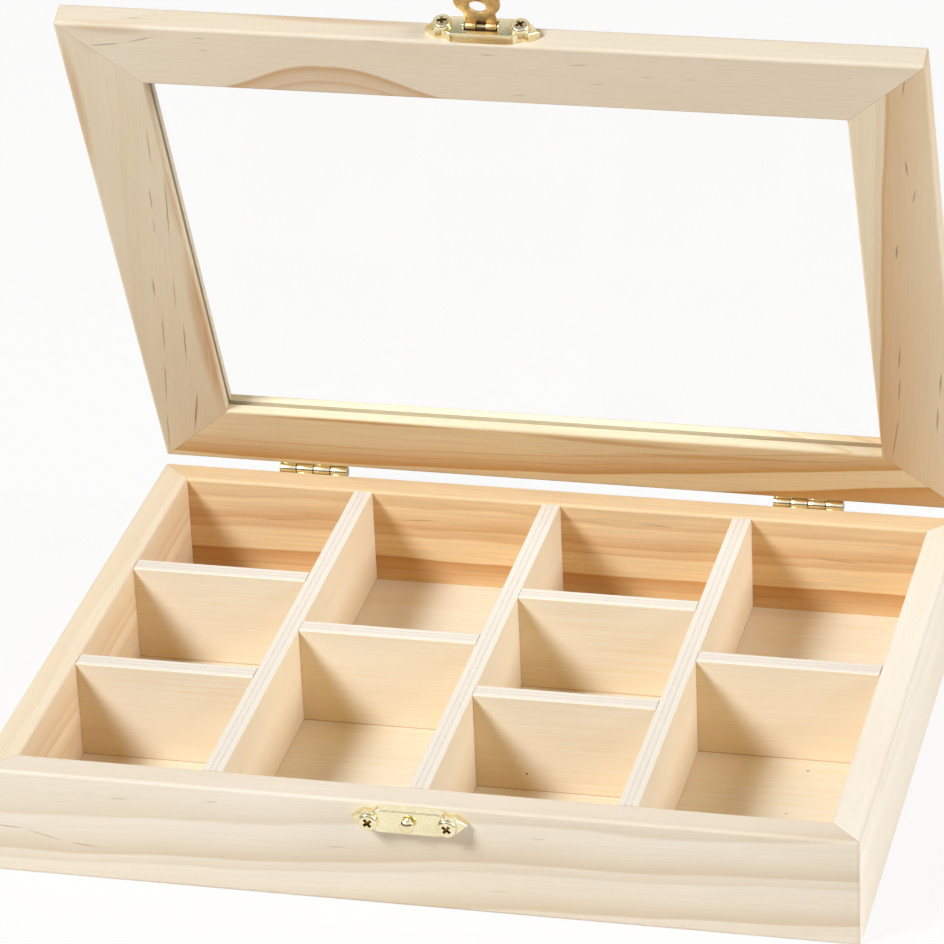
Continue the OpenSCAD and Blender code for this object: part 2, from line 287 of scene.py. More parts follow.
@dataclass(frozen=True)
class BoardAxes:
    """Own axes of a board: X along the grain, -Y to its outer face, +Z to its upper face."""

    node: str
    quarter_turns: int
    tilt: float = 0.0

    def place(self, graph: Graph) -> Socket:
        """Turn object coordinates into the board's own, in millimetres from its middle.

        Args:
            graph: Material to add the nodes to.

        Returns:
            The vector socket with the board's coordinates.
        """
        low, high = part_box(self.node)
        turn = Euler((math.radians(self.tilt), 0.0, math.radians(-90.0 * self.quarter_turns)))
        shift = turn.to_matrix() @ ((low + high) / (-2 * MM))
        source = graph.add("ShaderNodeTexCoord").outputs["Object"]
        return graph.add("ShaderNodeMapping", {
            "Vector": source, "Location": shift, "Rotation": turn, "Scale": (1 / MM,) * 3,
        }).outputs[0]


def bounced(graph: Graph, colour: Any) -> Socket:
    """Paint deeper, warmer shade into the cells: diffuse rays see the wood's colour multiplied by BOUNCE.

    Args:
        graph: Material to add the nodes to.
        colour: The wood's own colour.

    Returns:
        The colour's socket.
    """
    path = graph.add("ShaderNodeLightPath").outputs["Is Diffuse Ray"]
    return graph.mix(path, colour, graph.mix(1.0, colour, BOUNCE, "MULTIPLY"))


@dataclass(frozen=True)
class GrowthBand:
    """Strong growth band of a board: it darkens slowly up to a sharp edge.

    A negative width turns it round, so that it fades away from the pith.
    """

    at: Triple
    width: float
    strength: float
    soft: float = 0.9


@dataclass(frozen=True)
class Mark:
    """Resin dash, tinted patch or patch of painted shade between two points of a board, in millimetres."""

    start: Triple
    end: Triple
    width: float
    strength: float

    def share(self, graph: Graph, place: Any) -> Socket:
        """Tell how strong the mark is at each point.

        Args:
            graph: Material to add the nodes to.
            place: Board coordinates.

        Returns:
            The socket with its strength, 0 outside the mark.
        """
        first, last = Vector(self.start), Vector(self.end)
        run = last - first
        if run.x < 0:
            run = -run
        turn = (0.0, -math.atan2(run.z, run.x), math.atan2(run.y, run.x))
        away = graph.add("ShaderNodeMapping", {
            "Vector": place, "Location": (first + last) / 2, "Rotation": turn,
            "Scale": (run.length / 2, self.width, self.width),
        }, vector_type="TEXTURE").outputs[0]
        away = graph.add("ShaderNodeVectorMath", {0: away}, operation="LENGTH").outputs["Value"]
        return graph.remap(away, 0.3, 1.0, self.strength, 0.0, True)


def marks_on(face: float, axis: str, *rows: tuple[float, ...]) -> tuple[Mark, ...]:
    """Lay marks on one face of a board.

    Args:
        face: Place of the face on the axis that it is square to.
        axis: That axis, "Y" or "Z".
        rows: For each mark X and third coordinate of its start and of its end, width, strength.

    Returns:
        The marks, in the order of the rows.
    """
    marks = []
    for x, third, to_x, to_third, width, strength in rows:
        start, end = (x, face, third), (to_x, face, to_third)
        if axis == "Z":
            start, end = (x, third, face), (to_x, to_third, face)
        marks.append(Mark(start, end, width, strength))
    return tuple(marks)


def outer_marks(*rows: tuple[float, ...]) -> tuple[Mark, ...]:
    """Lay marks on the outer face of a wall."""
    return marks_on(-BOX.wall / 2, "Y", *rows)


def inner_marks(*rows: tuple[float, ...]) -> tuple[Mark, ...]:
    """Lay marks on the inner face of a wall."""
    return marks_on(BOX.wall / 2, "Y", *rows)


def under_marks(*rows: tuple[float, ...]) -> tuple[Mark, ...]:
    """Lay marks on the lower face of a lid rail."""
    return marks_on(-BOX.lid / 2, "Z", *rows)


@dataclass(frozen=True)
class Figure:
    """Figure of one pine board: how its growth rings lie and how strong they show.

    The grain may run askew (slope, a millimetre a millimetre), bend (bow, about a place) and
    rise to an arch (middle, width, rise).
    """

    pith: tuple[float, float] = (60.0, 50.0)
    slope: tuple[float, float] = (0.0, 0.0)
    bow: tuple[float, float] = (0.0, 0.0)
    arch: Triple = (0.0, 40.0, 0.0)
    arch_power: float = 2.6
    ring: float = 11.0
    wave: float = 2.5
    ripple: float = 0.5
    shift: Triple = (0.0, 0.0, 0.0)
    pale: Colour = paint(244, 230, 206)
    late: Colour = paint(222, 196, 156)
    contrast: float = 0.35
    streak: float = 0.03
    dashes: float = 0.06
    bands: tuple[GrowthBand, ...] = ()
    tints: tuple[Mark, ...] = ()
    marks: tuple[Mark, ...] = ()

    def distance(self, x: float, y: float, z: float) -> float:
        """Give the distance from the pith at which the figure puts a point of the board."""
        y, z = y + self.slope[0] * x, z + self.slope[1] * x
        middle, width, rise = self.arch
        plain = math.hypot(y - self.pith[0], z - self.pith[1])
        bell = rise / (abs((x - middle) / width) ** self.arch_power + 1)
        return plain + self.bow[1] * (x - self.bow[0]) ** 2 - bell


@dataclass(frozen=True)
class Pine:
    """Planed, unvarnished pine: growth bands, fibre streaks and short resin dashes."""

    wave_cell: Triple = (120.0, 60.0, 60.0)
    ripple_cell: Triple = (36.0, 14.0, 14.0)
    broad_cell: Triple = (110.0, 26.0, 26.0)
    streak_cell: Triple = (42.0, 1.1, 1.1)
    fibre_cell: Triple = (9.0, 0.28, 0.28)
    dash_cell: Triple = (34.0, 3.2, 3.2)
    dash_and_shade_colour: Colour = paint(140, 106, 76)
    cool_veil: Colour = paint(250, 246, 240)
    glue_colour: Colour = paint(168, 130, 88)
    glue_line: float = 0.22
    glue_strength: float = 0.45
    gloss: tuple[float, float] = (0.48, 0.62)
    specular: float = 0.3
    bump: float = 0.35
    bump_depth: float = 0.0001

    def distance(self, graph: Graph, grain: Any, figure: Figure) -> Any:
        """Lay the distance from the pith, with the waves of a real board.

        Args:
            graph: Material to add the nodes to.
            grain: Board coordinates along the grain.
            figure: The board's figure.

        Returns:
            The distance's socket.
        """
        axes = graph.add("ShaderNodeSeparateXYZ", {0: grain}).outputs
        across = graph.calc("SUBTRACT", axes[1], figure.pith[0])
        up = graph.calc("SUBTRACT", axes[2], figure.pith[1])
        radius = graph.calc("SQRT", graph.calc(
            "ADD", graph.calc("MULTIPLY", across, across), graph.calc("MULTIPLY", up, up)))
        for cell, reach in ((self.wave_cell, figure.wave), (self.ripple_cell, figure.ripple)):
            wave = graph.noise(graph.stretched(grain, cell, figure.shift), 1.0)
            radius = graph.calc("ADD", radius, graph.remap(wave, 0.0, 1.0, -2 * reach, 2 * reach))
        if figure.bow[1]:
            off = graph.calc("SUBTRACT", axes[0], figure.bow[0])
            radius = graph.calc("MULTIPLY_ADD", graph.calc("MULTIPLY", off, off), figure.bow[1], radius)
        middle, width, rise = figure.arch
        if rise:
            off = graph.calc("ABSOLUTE", graph.calc("DIVIDE", graph.calc("SUBTRACT", axes[0], middle), width))
            off = graph.calc("POWER", off, figure.arch_power)
            bell = graph.calc("DIVIDE", rise, graph.calc("ADD", off, 1.0))
            radius = graph.calc("SUBTRACT", radius, bell)
        return radius

    def late_wood(self, graph: Graph, radius: Any, figure: Figure) -> Any:
        """Tell how much late wood each point shows.

        Args:
            graph: Material to add the nodes to.
            radius: Distance from the pith.
            figure: The board's figure.

        Returns:
            The share of late wood, 0 to 1.
        """
        turns = graph.calc("DIVIDE", radius, figure.ring)
        own = graph.add("ShaderNodeTexWhiteNoise", {"W": graph.calc("FLOOR", turns)},
                        noise_dimensions="1D").outputs["Value"]
        late = graph.ramp(graph.calc("FRACT", turns),
                          ((0.0, 0.0), (0.25, 0.04), (0.6, 0.3), (0.88, 0.9), (0.94, 1.0), (1.0, 0.0)))
        rare = graph.calc("MULTIPLY", graph.calc("POWER", own, 2.0), figure.contrast)
        late = graph.calc("MULTIPLY", late, rare)
        for band in figure.bands:
            side = math.copysign(1.0, band.width)
            within = graph.calc("MULTIPLY", graph.calc("SUBTRACT", figure.distance(*band.at), radius), side)
            fade = graph.calc("POWER", graph.remap(within, 0.0, abs(band.width), 1.0, 0.0), 1.4)
            edge = graph.remap(within, -band.soft, band.soft * 0.3, 0.0, band.strength, True)
            late = graph.calc("MAXIMUM", late, graph.calc("MULTIPLY", fade, edge))
        return late

    def material(self, axes: BoardAxes, figure: Figure, length: float, depth: float) -> bpy.types.Material:
        """Make the finish of one board.

        Args:
            axes: The board's own axes.
            figure: The board's figure.
            length: Length of its outer edge.
            depth: Width of the board from outer to inner edge.

        Returns:
            The material.
        """
        graph = Graph.of_material(f"pine_{axes.node}")
        place = axes.place(graph)
        split = graph.add("ShaderNodeSeparateXYZ", {0: place}).outputs
        grain = graph.add("ShaderNodeCombineXYZ", {
            0: split[0], 1: graph.calc("MULTIPLY_ADD", split[0], figure.slope[0], split[1]),
            2: graph.calc("MULTIPLY_ADD", split[0], figure.slope[1], split[2]),
        }).outputs[0]
        late = self.late_wood(graph, self.distance(graph, grain, figure), figure)
        streaks = graph.noise(graph.stretched(grain, self.streak_cell, figure.shift), 4.0, 0.6)
        fibre = graph.noise(graph.stretched(grain, self.fibre_cell, figure.shift), 2.0)
        # Tints darken toward the late-wood colour; on the front wall one is painted shade along its lower
        # edge.
        for tint in figure.tints:
            rough = graph.remap(streaks, 0.3, 0.7, 0.6, 1.3)
            late = graph.calc("MAXIMUM", late, graph.calc("MULTIPLY", tint.share(graph, place), rough))
        colour = graph.mix(late, figure.pale, figure.late)

        broad = graph.noise(graph.stretched(grain, self.broad_cell, figure.shift), 2.0)
        cool = graph.remap(broad, 0.35, 0.7, 0.0, 0.5, True)
        colour = graph.mix(cool, colour, graph.mix(1.0, colour, self.cool_veil, "MULTIPLY"))
        tone = graph.remap(streaks, 0.3, 0.7, 1.0 - figure.streak, 1.0 + figure.streak * 0.6)
        tone = graph.calc("MULTIPLY", tone, graph.remap(fibre, 0.3, 0.7, 0.982, 1.014))
        colour = graph.add("ShaderNodeVectorMath", {0: colour, 3: tone}, operation="SCALE").outputs[0]

        spread = graph.stretched(grain, self.dash_cell, figure.shift)
        cells = graph.add("ShaderNodeTexVoronoi", {"Vector": spread, "Scale": 1.0, "Randomness": 1.0})
        chosen = graph.add("ShaderNodeSeparateColor", {0: cells.outputs["Color"]}).outputs
        reach = graph.remap(chosen[0], 0.45, 1.0, 0.0, figure.dashes)
        dash_and_shade = graph.calc("SUBTRACT", reach, cells.outputs["Distance"])
        dash_and_shade = graph.remap(dash_and_shade, 0.0, 0.035, 0.0, 1.0, True)
        dash_and_shade = graph.calc("MULTIPLY", dash_and_shade, graph.remap(chosen[1], 0.0, 1.0, 0.2, 0.75))
        # Marks are resin dashes and, on some boards, painted shade: a line along the front wall's lower edge
        # and a patch behind the hasp window.
        for mark in figure.marks:
            dash_and_shade = graph.calc("MAXIMUM", dash_and_shade, mark.share(graph, place))
        grainy = graph.remap(fibre, 0.35, 0.6, 0.45, 1.0)
        colour = graph.mix(graph.calc("MULTIPLY", dash_and_shade, grainy), colour, self.dash_and_shade_colour)

        to_end = graph.calc("SUBTRACT", length / 2, graph.calc("ABSOLUTE", split[0]))
        to_mitre = graph.calc("SUBTRACT", to_end, graph.calc("ADD", split[1], depth / 2))
        glue = graph.remap(to_mitre, 0.05, self.glue_line, self.glue_strength, 0.0, True)
        colour = graph.mix(glue, colour, self.glue_colour)

        height = graph.calc("ADD", graph.calc("MULTIPLY", fibre, 0.6), graph.calc("MULTIPLY", late, -0.4))
        bump = graph.bump(self.bump, self.bump_depth, height)
        shader = graph.add("ShaderNodeBsdfPrincipled", {
            "Base Color": bounced(graph, colour), "Roughness": graph.remap(streaks, 0.3, 0.7, *self.gloss),
            "Normal": bump, "Specular IOR Level": self.specular,
        })
        return graph.surface(shader.outputs[0])


@dataclass(frozen=True)
class Plywood:
    """Thin light plywood: faint veneer streaks on its faces, ply lines along its edges."""

    face: Colour = paint(250, 247, 233)
    face_deep: Colour = paint(243, 231, 202)
    core: Colour = paint(244, 240, 232)
    ply_line: Colour = paint(222, 214, 206)
    joint_shadow: Colour = paint(176, 116, 70)
    speck: Colour = paint(70, 48, 34)
    veneer: float = 0.35
    streak_cell: Triple = (60.0, 1.6, 0.55)
    broad_cell: Triple = (70.0, 30.0, 12.0)
    fleck_cell: Triple = (1.4, 0.35, 0.8)
    gloss: tuple[float, float] = (0.5, 0.64)
    specular: float = 0.3
    bump: float = 0.3
    bump_depth: float = 0.0001

    def material(self, axes: BoardAxes, thickness_axis: int, thickness: float, length: float,
                 height: float, specks: Iterable[Speck] = (),
                 shift: Triple = (0.0, 0.0, 0.0)) -> bpy.types.Material:
        """Make the finish of one plywood piece.

        Args:
            axes: The piece's own axes.
            thickness_axis: 1 where the plies lie one behind the other, 2 where they lie flat.
            thickness: Thickness of the piece.
            length: Length of the piece, for the painted shadow lines at its ends, or 0 for none.
            height: Height of the piece, for the painted shadow line at its foot, or 0 for none.
            specks: Place in the box and radius of each small dark speck.
            shift: Shift of the pattern, in cells.

        Returns:
            The material.
        """
        graph = Graph.of_material(f"plywood_{axes.node}")
        place = axes.place(graph)
        split = graph.add("ShaderNodeSeparateXYZ", {0: place}).outputs
        streaks = graph.noise(graph.stretched(place, self.streak_cell, shift), 4.0, 0.62)
        broad = graph.noise(graph.stretched(place, self.broad_cell, shift), 2.0)
        deep = graph.calc("MULTIPLY", graph.remap(streaks, 0.35, 0.72, 0.0, 1.0),
                          graph.remap(broad, 0.3, 0.7, 0.25, 0.9))
        face = graph.mix(deep, self.face, self.face_deep)

        level = graph.calc("ABSOLUTE", split[thickness_axis])
        share = graph.calc("DIVIDE", level, thickness / 2)
        lines = graph.ramp(share, ((0.0, 0.35), (0.17, 0.2), (0.21, 1.0), (0.42, 0.75), (0.46, 0.0),
                                   (0.66, 0.05), (0.7, 0.55), (0.76, 0.1)))
        fleck = graph.noise(graph.stretched(place, self.fleck_cell, shift), 3.0)
        lines = graph.calc("MULTIPLY", lines, graph.remap(fleck, 0.35, 0.65, 0.35, 1.0))
        edge = graph.mix(lines, self.core, self.ply_line)
        outer = graph.remap(level, thickness / 2 - self.veneer, thickness / 2 - self.veneer * 0.4, 0.0, 1.0)
        colour = graph.mix(outer, edge, face)

        # Painted shadow lines where the piece meets the floor and, at its ends, the dividers it stands
        # against.
        if height:
            foot = graph.calc("ADD", split[2], height / 2)
            colour = graph.mix(graph.remap(foot, 0.1, 0.55, 0.55, 0.0, True), colour, self.joint_shadow)
        if length:
            to_end = graph.calc("SUBTRACT", length / 2, graph.calc("ABSOLUTE", split[0]))
            colour = graph.mix(graph.remap(to_end, 0.05, 0.35, 0.35, 0.0, True), colour, self.joint_shadow)
        source = graph.add("ShaderNodeTexCoord").outputs["Object"]
        for x, y, z, radius in specks:
            away = graph.add("ShaderNodeVectorMath", {0: source, 1: (x * MM, y * MM, z * MM)},
                             operation="DISTANCE").outputs["Value"]
            dark = graph.remap(away, radius * 0.5 * MM, radius * MM, 0.9, 0.0, True)
            colour = graph.mix(dark, colour, self.speck)

        bump = graph.bump(self.bump, self.bump_depth, streaks)
        shader = graph.add("ShaderNodeBsdfPrincipled", {
            "Base Color": bounced(graph, colour), "Roughness": graph.remap(streaks, 0.3, 0.7, *self.gloss),
            "Normal": bump, "Specular IOR Level": self.specular,
        })
        return graph.surface(shader.outputs[0])


@dataclass(frozen=True)
class Brass:
    """Plated brass, bright or frosted: uneven tone, fine wear and grain, and painted shade where a vertex
    layer marks it.
    """

    name: str
    bright: Colour
    deep: Colour
    tone_cell: float
    grain_cell: Triple
    gloss: tuple[float, float]
    bump: float
    bump_depth: float = 0.00015
    shade_colour: Colour = paint(150, 112, 56)

    def material(self, suffix: str) -> bpy.types.Material:
        """Make the finish.

        Args:
            suffix: Ending of the material's name.

        Returns:
            The material.
        """
        graph = Graph.of_material(f"{self.name}_{suffix}")
        place = graph.millimetres()
        tone = graph.noise(graph.stretched(place, (self.tone_cell,) * 3), 3.0)
        grain = graph.noise(graph.stretched(place, self.grain_cell), 3.0, 0.65)
        share = graph.calc("ADD", graph.calc("MULTIPLY", tone, 0.5), graph.calc("MULTIPLY", grain, 0.5))
        colour = graph.mix(graph.remap(share, 0.36, 0.64, 0.0, 1.0), self.deep, self.bright)
        # Painted shade: the vertex layer darkens the colour at knuckle ends and in screw recesses.
        painted_shade = graph.add("ShaderNodeAttribute", attribute_name=PAINTED_SHADE).outputs["Fac"]
        colour = graph.mix(painted_shade, colour, self.shade_colour)
        shader = graph.add("ShaderNodeBsdfPrincipled", {
            "Base Color": colour, "Metallic": 1.0, "Normal": graph.bump(self.bump, self.bump_depth, grain),
            "Roughness": graph.remap(grain, 0.3, 0.7, *self.gloss),
        })
        return graph.surface(shader.outputs[0])


@dataclass(frozen=True)
class ClearGlass:
    """Clear float glass that lets the lamps through, with the faintest haze of handling."""

    haze: float = 0.012
    ior: float = 1.1
    smear_cell: Triple = (45.0, 30.0, 30.0)

    def material(self) -> bpy.types.Material:
        """Make the finish and return it."""
        graph = Graph.of_material("clear_glass")
        place = graph.millimetres()
        smear = graph.noise(graph.stretched(place, self.smear_cell), 3.0)
        pane = graph.add("ShaderNodeBsdfPrincipled", {
            "Base Color": WHITE, "Transmission Weight": 1.0, "IOR": self.ior,
            "Roughness": graph.remap(smear, 0.45, 0.75, 0.0, self.haze),
        })
        through = graph.add("ShaderNodeBsdfTransparent", {"Color": WHITE})
        lamp_ray = graph.add("ShaderNodeLightPath").outputs["Is Shadow Ray"]
        parts = {0: lamp_ray, 1: pane.outputs[0], 2: through.outputs[0]}
        return graph.surface(graph.add("ShaderNodeMixShader", parts).outputs[0])


BRIGHT_BRASS = Brass("bright_brass", paint(250, 240, 205), paint(236, 222, 175), 6.0, (1.6, 0.5, 0.5),
                     (0.1, 0.22), 0.1)
FROSTED_BRASS = Brass("frosted_brass", paint(228, 202, 150), paint(184, 148, 98), 2.2, (0.45, 0.45, 0.45),
                      (0.34, 0.55), 0.6)
PIN_BRASS = Brass("pin_brass", paint(150, 128, 84), paint(108, 88, 54), 3.0, (0.8, 0.5, 0.5),
                  (0.25, 0.4), 0.2)


# --- Mesh work --------------------------------------------------------------------------------


def put_on(node: str, material: bpy.types.Material) -> bpy.types.Object:
    """Give a solid of the frame its finish.

    Args:
        node: Name of the solid.
        material: Finish to put in every material slot.

    Returns:
        The solid's object.
    """
    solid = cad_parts[node]
    for holder in solid.material_slots:
        holder.material = material
    if not solid.material_slots:
        solid.data.materials.append(material)
    LOG.info("%s keeps its solid, in %s", node, material.name)
    return solid


def joined(parts: Iterable[Shape]) -> Shape:
    """Gather several shapes in one mesh and free them.

    Args:
        parts: Shapes to gather.

    Returns:
        The mesh that holds them all.
    """
    whole = bmesh.new()
    whole.verts.layers.float.new(PAINTED_SHADE)
    for part in parts:
        carrier = bpy.data.meshes.new("carrier")
        part.to_mesh(carrier)
        part.free()
        whole.from_mesh(carrier)
        bpy.data.meshes.remove(carrier)
    return whole


def finish_piece(bm: Shape, name: str, body: str, material: bpy.types.Material,
                 stands_for: str, place: Matrix) -> bpy.types.Object:
    """Bring a shape to its place in metres and make it a piece of the object.

    Args:
        bm: Shape in millimetres, freed here.
        name: Name of the piece.
        body: Body it rides on.
        material: Its finish.
        stands_for: Solid that it is shown instead of.
        place: Its place, in millimetres.

    Returns:
        The piece.
    """
    bmesh.ops.transform(bm, matrix=Matrix.Scale(MM, 4) @ place, verts=bm.verts)
    mesh = bpy.data.meshes.new(name)
    bm.to_mesh(mesh)
    bm.free()
    mesh.polygons.foreach_set("use_smooth", [True] * len(mesh.polygons))
    mesh.set_sharp_from_angle(angle=CREASE)
    mesh.materials.append(material)
    piece = bpy.data.objects.new(name, mesh)
    bpy.context.scene.collection.objects.link(piece)
    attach(piece, body)
    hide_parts(stands_for)
    LOG.info("%s is built in %d faces for %s", name, len(mesh.polygons), stands_for)
    return piece


def made_vertices(made: Iterable[Any]) -> list[Vertex]:
    """Pick the vertices from what an operator returns."""
    return [g for g in made if isinstance(g, Vertex)]


def face_out(bm: Shape) -> None:
    """Turn every face outwards."""
    bmesh.ops.recalc_face_normals(bm, faces=list(bm.faces))


def turn_round(bm: Shape, axis: Triple, steps: int) -> None:
    """Spin an outline once round an axis through the origin into a closed skin."""
    bmesh.ops.spin(bm, geom=[*bm.verts, *bm.edges], cent=(0.0, 0.0, 0.0), axis=axis, angle=2 * math.pi,
                   steps=steps, use_merge=True, use_duplicate=False)


def arc(bm: Shape, start: Vertex, centre: Vector, angle: float, steps: int,
        axis: Vector) -> Vertex:
    """Sweep a vertex round a centre, leaving edges.

    Args:
        bm: Mesh to work in.
        start: Vertex to sweep.
        centre: Centre of the arc.
        angle: Angle of the arc, in radians.
        steps: Edges in the arc.
        axis: Axis of the turn.

    Returns:
        The last vertex.
    """
    made = bmesh.ops.spin(bm, geom=[start], cent=centre, axis=axis, angle=angle, steps=steps,
                          use_duplicate=False)
    return made_vertices(made["geom_last"])[0]


def chain(bm: Shape, start: Vertex,
          points: Iterable[Triple]) -> Vertex:
    """Lead edges from a vertex through points and return the last vertex."""
    for point in points:
        after = bm.verts.new(point)
        bm.edges.new((start, after))
        start = after
    return start


def rim_bevel(bm: Shape, edges: list[Edge], width: float, segments: int) -> None:
    """Round edges over.

    Args:
        bm: Mesh to work in.
        edges: Edges to round.
        width: Width of the rounding.
        segments: Faces across it.
    """
    bmesh.ops.bevel(bm, geom=edges, affect="EDGES", offset=width, offset_type="OFFSET", segments=segments,
                    profile=0.5, material=-1, clamp_overlap=True)


def sharp_edges(bm: Shape, angle: float = 40.0) -> list[Edge]:
    """List the edges at which two faces meet at more than an angle, in degrees."""
    limit = math.radians(angle)
    return [e for e in bm.edges if len(e.link_faces) == 2 and e.calc_face_angle(0.0) > limit]


def slab(low: Triple, high: Triple, rounding: float) -> Shape:
    """Make a block with rounded edges.

    Args:
        low: Lowest corner.
        high: Highest corner.
        rounding: Width of the rounding.

    Returns:
        The shape.
    """
    bm = bmesh.new()
    first, last = Vector(low), Vector(high)
    place = Matrix.Translation((first + last) / 2) @ Matrix.Diagonal((*(last - first), 1.0))
    bmesh.ops.create_cube(bm, size=1.0, matrix=place)
    rim_bevel(bm, list(bm.edges), rounding, 2)
    return bm


def tube(start: float, end: float, inner: float, outer: float, rounding: float, steps: int = 40) -> Shape:
    """Make a rolled knuckle along X, with painted shade at its ends.

    Args:
        start: X of its left end.
        end: X of its right end.
        inner: Radius of its bore.
        outer: Radius of its outside.
        rounding: Width of the rounding at its ends.
        steps: Faces round it.

    Returns:
        The shape.
    """
    bm = bmesh.new()
    place = Matrix.Translation(((start + end) / 2, 0.0, (inner + outer) / 2))
    place = place @ Matrix.Rotation(math.pi / 2, 4, "X")
    place = place @ Matrix.Diagonal((end - start, outer - inner, 1.0, 1.0))
    bmesh.ops.create_grid(bm, x_segments=1, y_segments=1, size=0.5, matrix=place)
    bmesh.ops.bevel(bm, geom=list(bm.verts), affect="VERTICES", offset=rounding, offset_type="OFFSET",
                    segments=2, profile=0.5, material=-1, clamp_overlap=True)
    bmesh.ops.delete(bm, geom=list(bm.faces), context="FACES_ONLY")
    turn_round(bm, (1.0, 0.0, 0.0), steps)
    face_out(bm)
    # Painted shade on both ends, where the knuckle meets the next one.
    painted_shade = bm.verts.layers.float.new(PAINTED_SHADE)
    for vertex in bm.verts:
        if min(abs(vertex.co.x - start), abs(vertex.co.x - end)) < 0.01:
            vertex[painted_shade] = 1.0
    return bm


@dataclass(frozen=True)
class CrossScrew:
    """Pan-headed screw with a tapered cross recess, along +Z with its head on z = 0."""

    head: float
    head_height: float
    shank: float
    length: float
    flat_share: float = 0.68
    arm_share: float = 0.5
    slot_share: float = 0.15
    recess_taper: float = 0.72
    recess_depth: float = 0.66
    steps: int = 32

    def shape(self, place: Matrix) -> Shape:
        """Make the screw.

        Args:
            place: Where its head sits.

        Returns:
            The shape.
        """
        bm = bmesh.new()
        painted_shade = bm.verts.layers.float.new(PAINTED_SHADE)
        flat = self.head * self.flat_share
        bmesh.ops.create_grid(bm, x_segments=3, y_segments=3, size=1.0)
        corners = [f for f in bm.faces if min(abs(c) for c in f.calc_center_median().xy) > 0.5]
        bmesh.ops.delete(bm, geom=corners, context="FACES")
        for vertex in bm.verts:
            for i in (0, 1):
                reach = self.arm_share if abs(vertex.co[i]) > 0.5 else self.slot_share
                vertex.co[i] = math.copysign(reach * self.head, vertex.co[i])
        cross = list(bm.faces)
        outline = [e for e in bm.edges if len(e.link_faces) == 1]
        round_verts = bmesh.ops.create_circle(bm, cap_ends=False, segments=self.steps, radius=flat)["verts"]
        ring = list({e for v in round_verts for e in v.link_edges})
        bmesh.ops.triangle_fill(bm, use_beauty=True, edges=outline + ring, normal=UP)
        bmesh.ops.translate(bm, verts=list(bm.verts), vec=(0.0, 0.0, self.head_height))
        radius = flat
        shoulder = self.head_height * 0.3
        for turn in (20, 40, 60, 78, 90):
            sweep = math.radians(turn)
            wide = flat + (self.head - flat) * math.sin(sweep)
            high = shoulder + (self.head_height - shoulder) * math.cos(sweep)
            ring = self._extend(bm, ring, wide / radius, high)
            radius = wide
        for wide, high in ((self.head, 0.12 * self.head_height), (self.head * 0.96, 0.0), (self.shank, 0.0),
                           (self.shank, 1.6 * self.shank - self.length), (self.shank * 0.08, -self.length)):
            ring = self._extend(bm, ring, wide / radius, high)
            radius = wide
        bmesh.ops.contextual_create(bm, geom=ring)
        deep = made_vertices(bmesh.ops.extrude_face_region(bm, geom=cross)["geom"])
        bmesh.ops.delete(bm, geom=[f for f in cross if f.is_valid], context="FACES_ONLY")
        bmesh.ops.scale(bm, vec=(self.recess_taper, self.recess_taper, 1.0), verts=deep)
        bmesh.ops.translate(bm, vec=(0.0, 0.0, -self.recess_depth * self.head_height), verts=deep)
        # Painted shade in the cross recess.
        for vertex in deep:
            vertex[painted_shade] = 1.0
        bmesh.ops.remove_doubles(bm, verts=list(bm.verts), dist=1e-5)
        face_out(bm)
        bmesh.ops.transform(bm, matrix=place, verts=list(bm.verts))
        return bm

    @staticmethod
    def _extend(bm: Shape, ring: list[Edge], scale: float,
                height: float) -> list[Edge]:
        """Extrude a ring of edges to a new radius and height and return the new ring."""
        made = bmesh.ops.extrude_edge_only(bm, edges=ring)["geom"]
        verts = made_vertices(made)
        bmesh.ops.scale(bm, vec=(scale, scale, 1.0), verts=verts)
        for vertex in verts:
            vertex.co.z = height
        fresh = set(verts)
        return [g for g in made if isinstance(g, Edge) and fresh.issuperset(g.verts)]


# --- Wooden parts -----------------------------------------------------------------------------


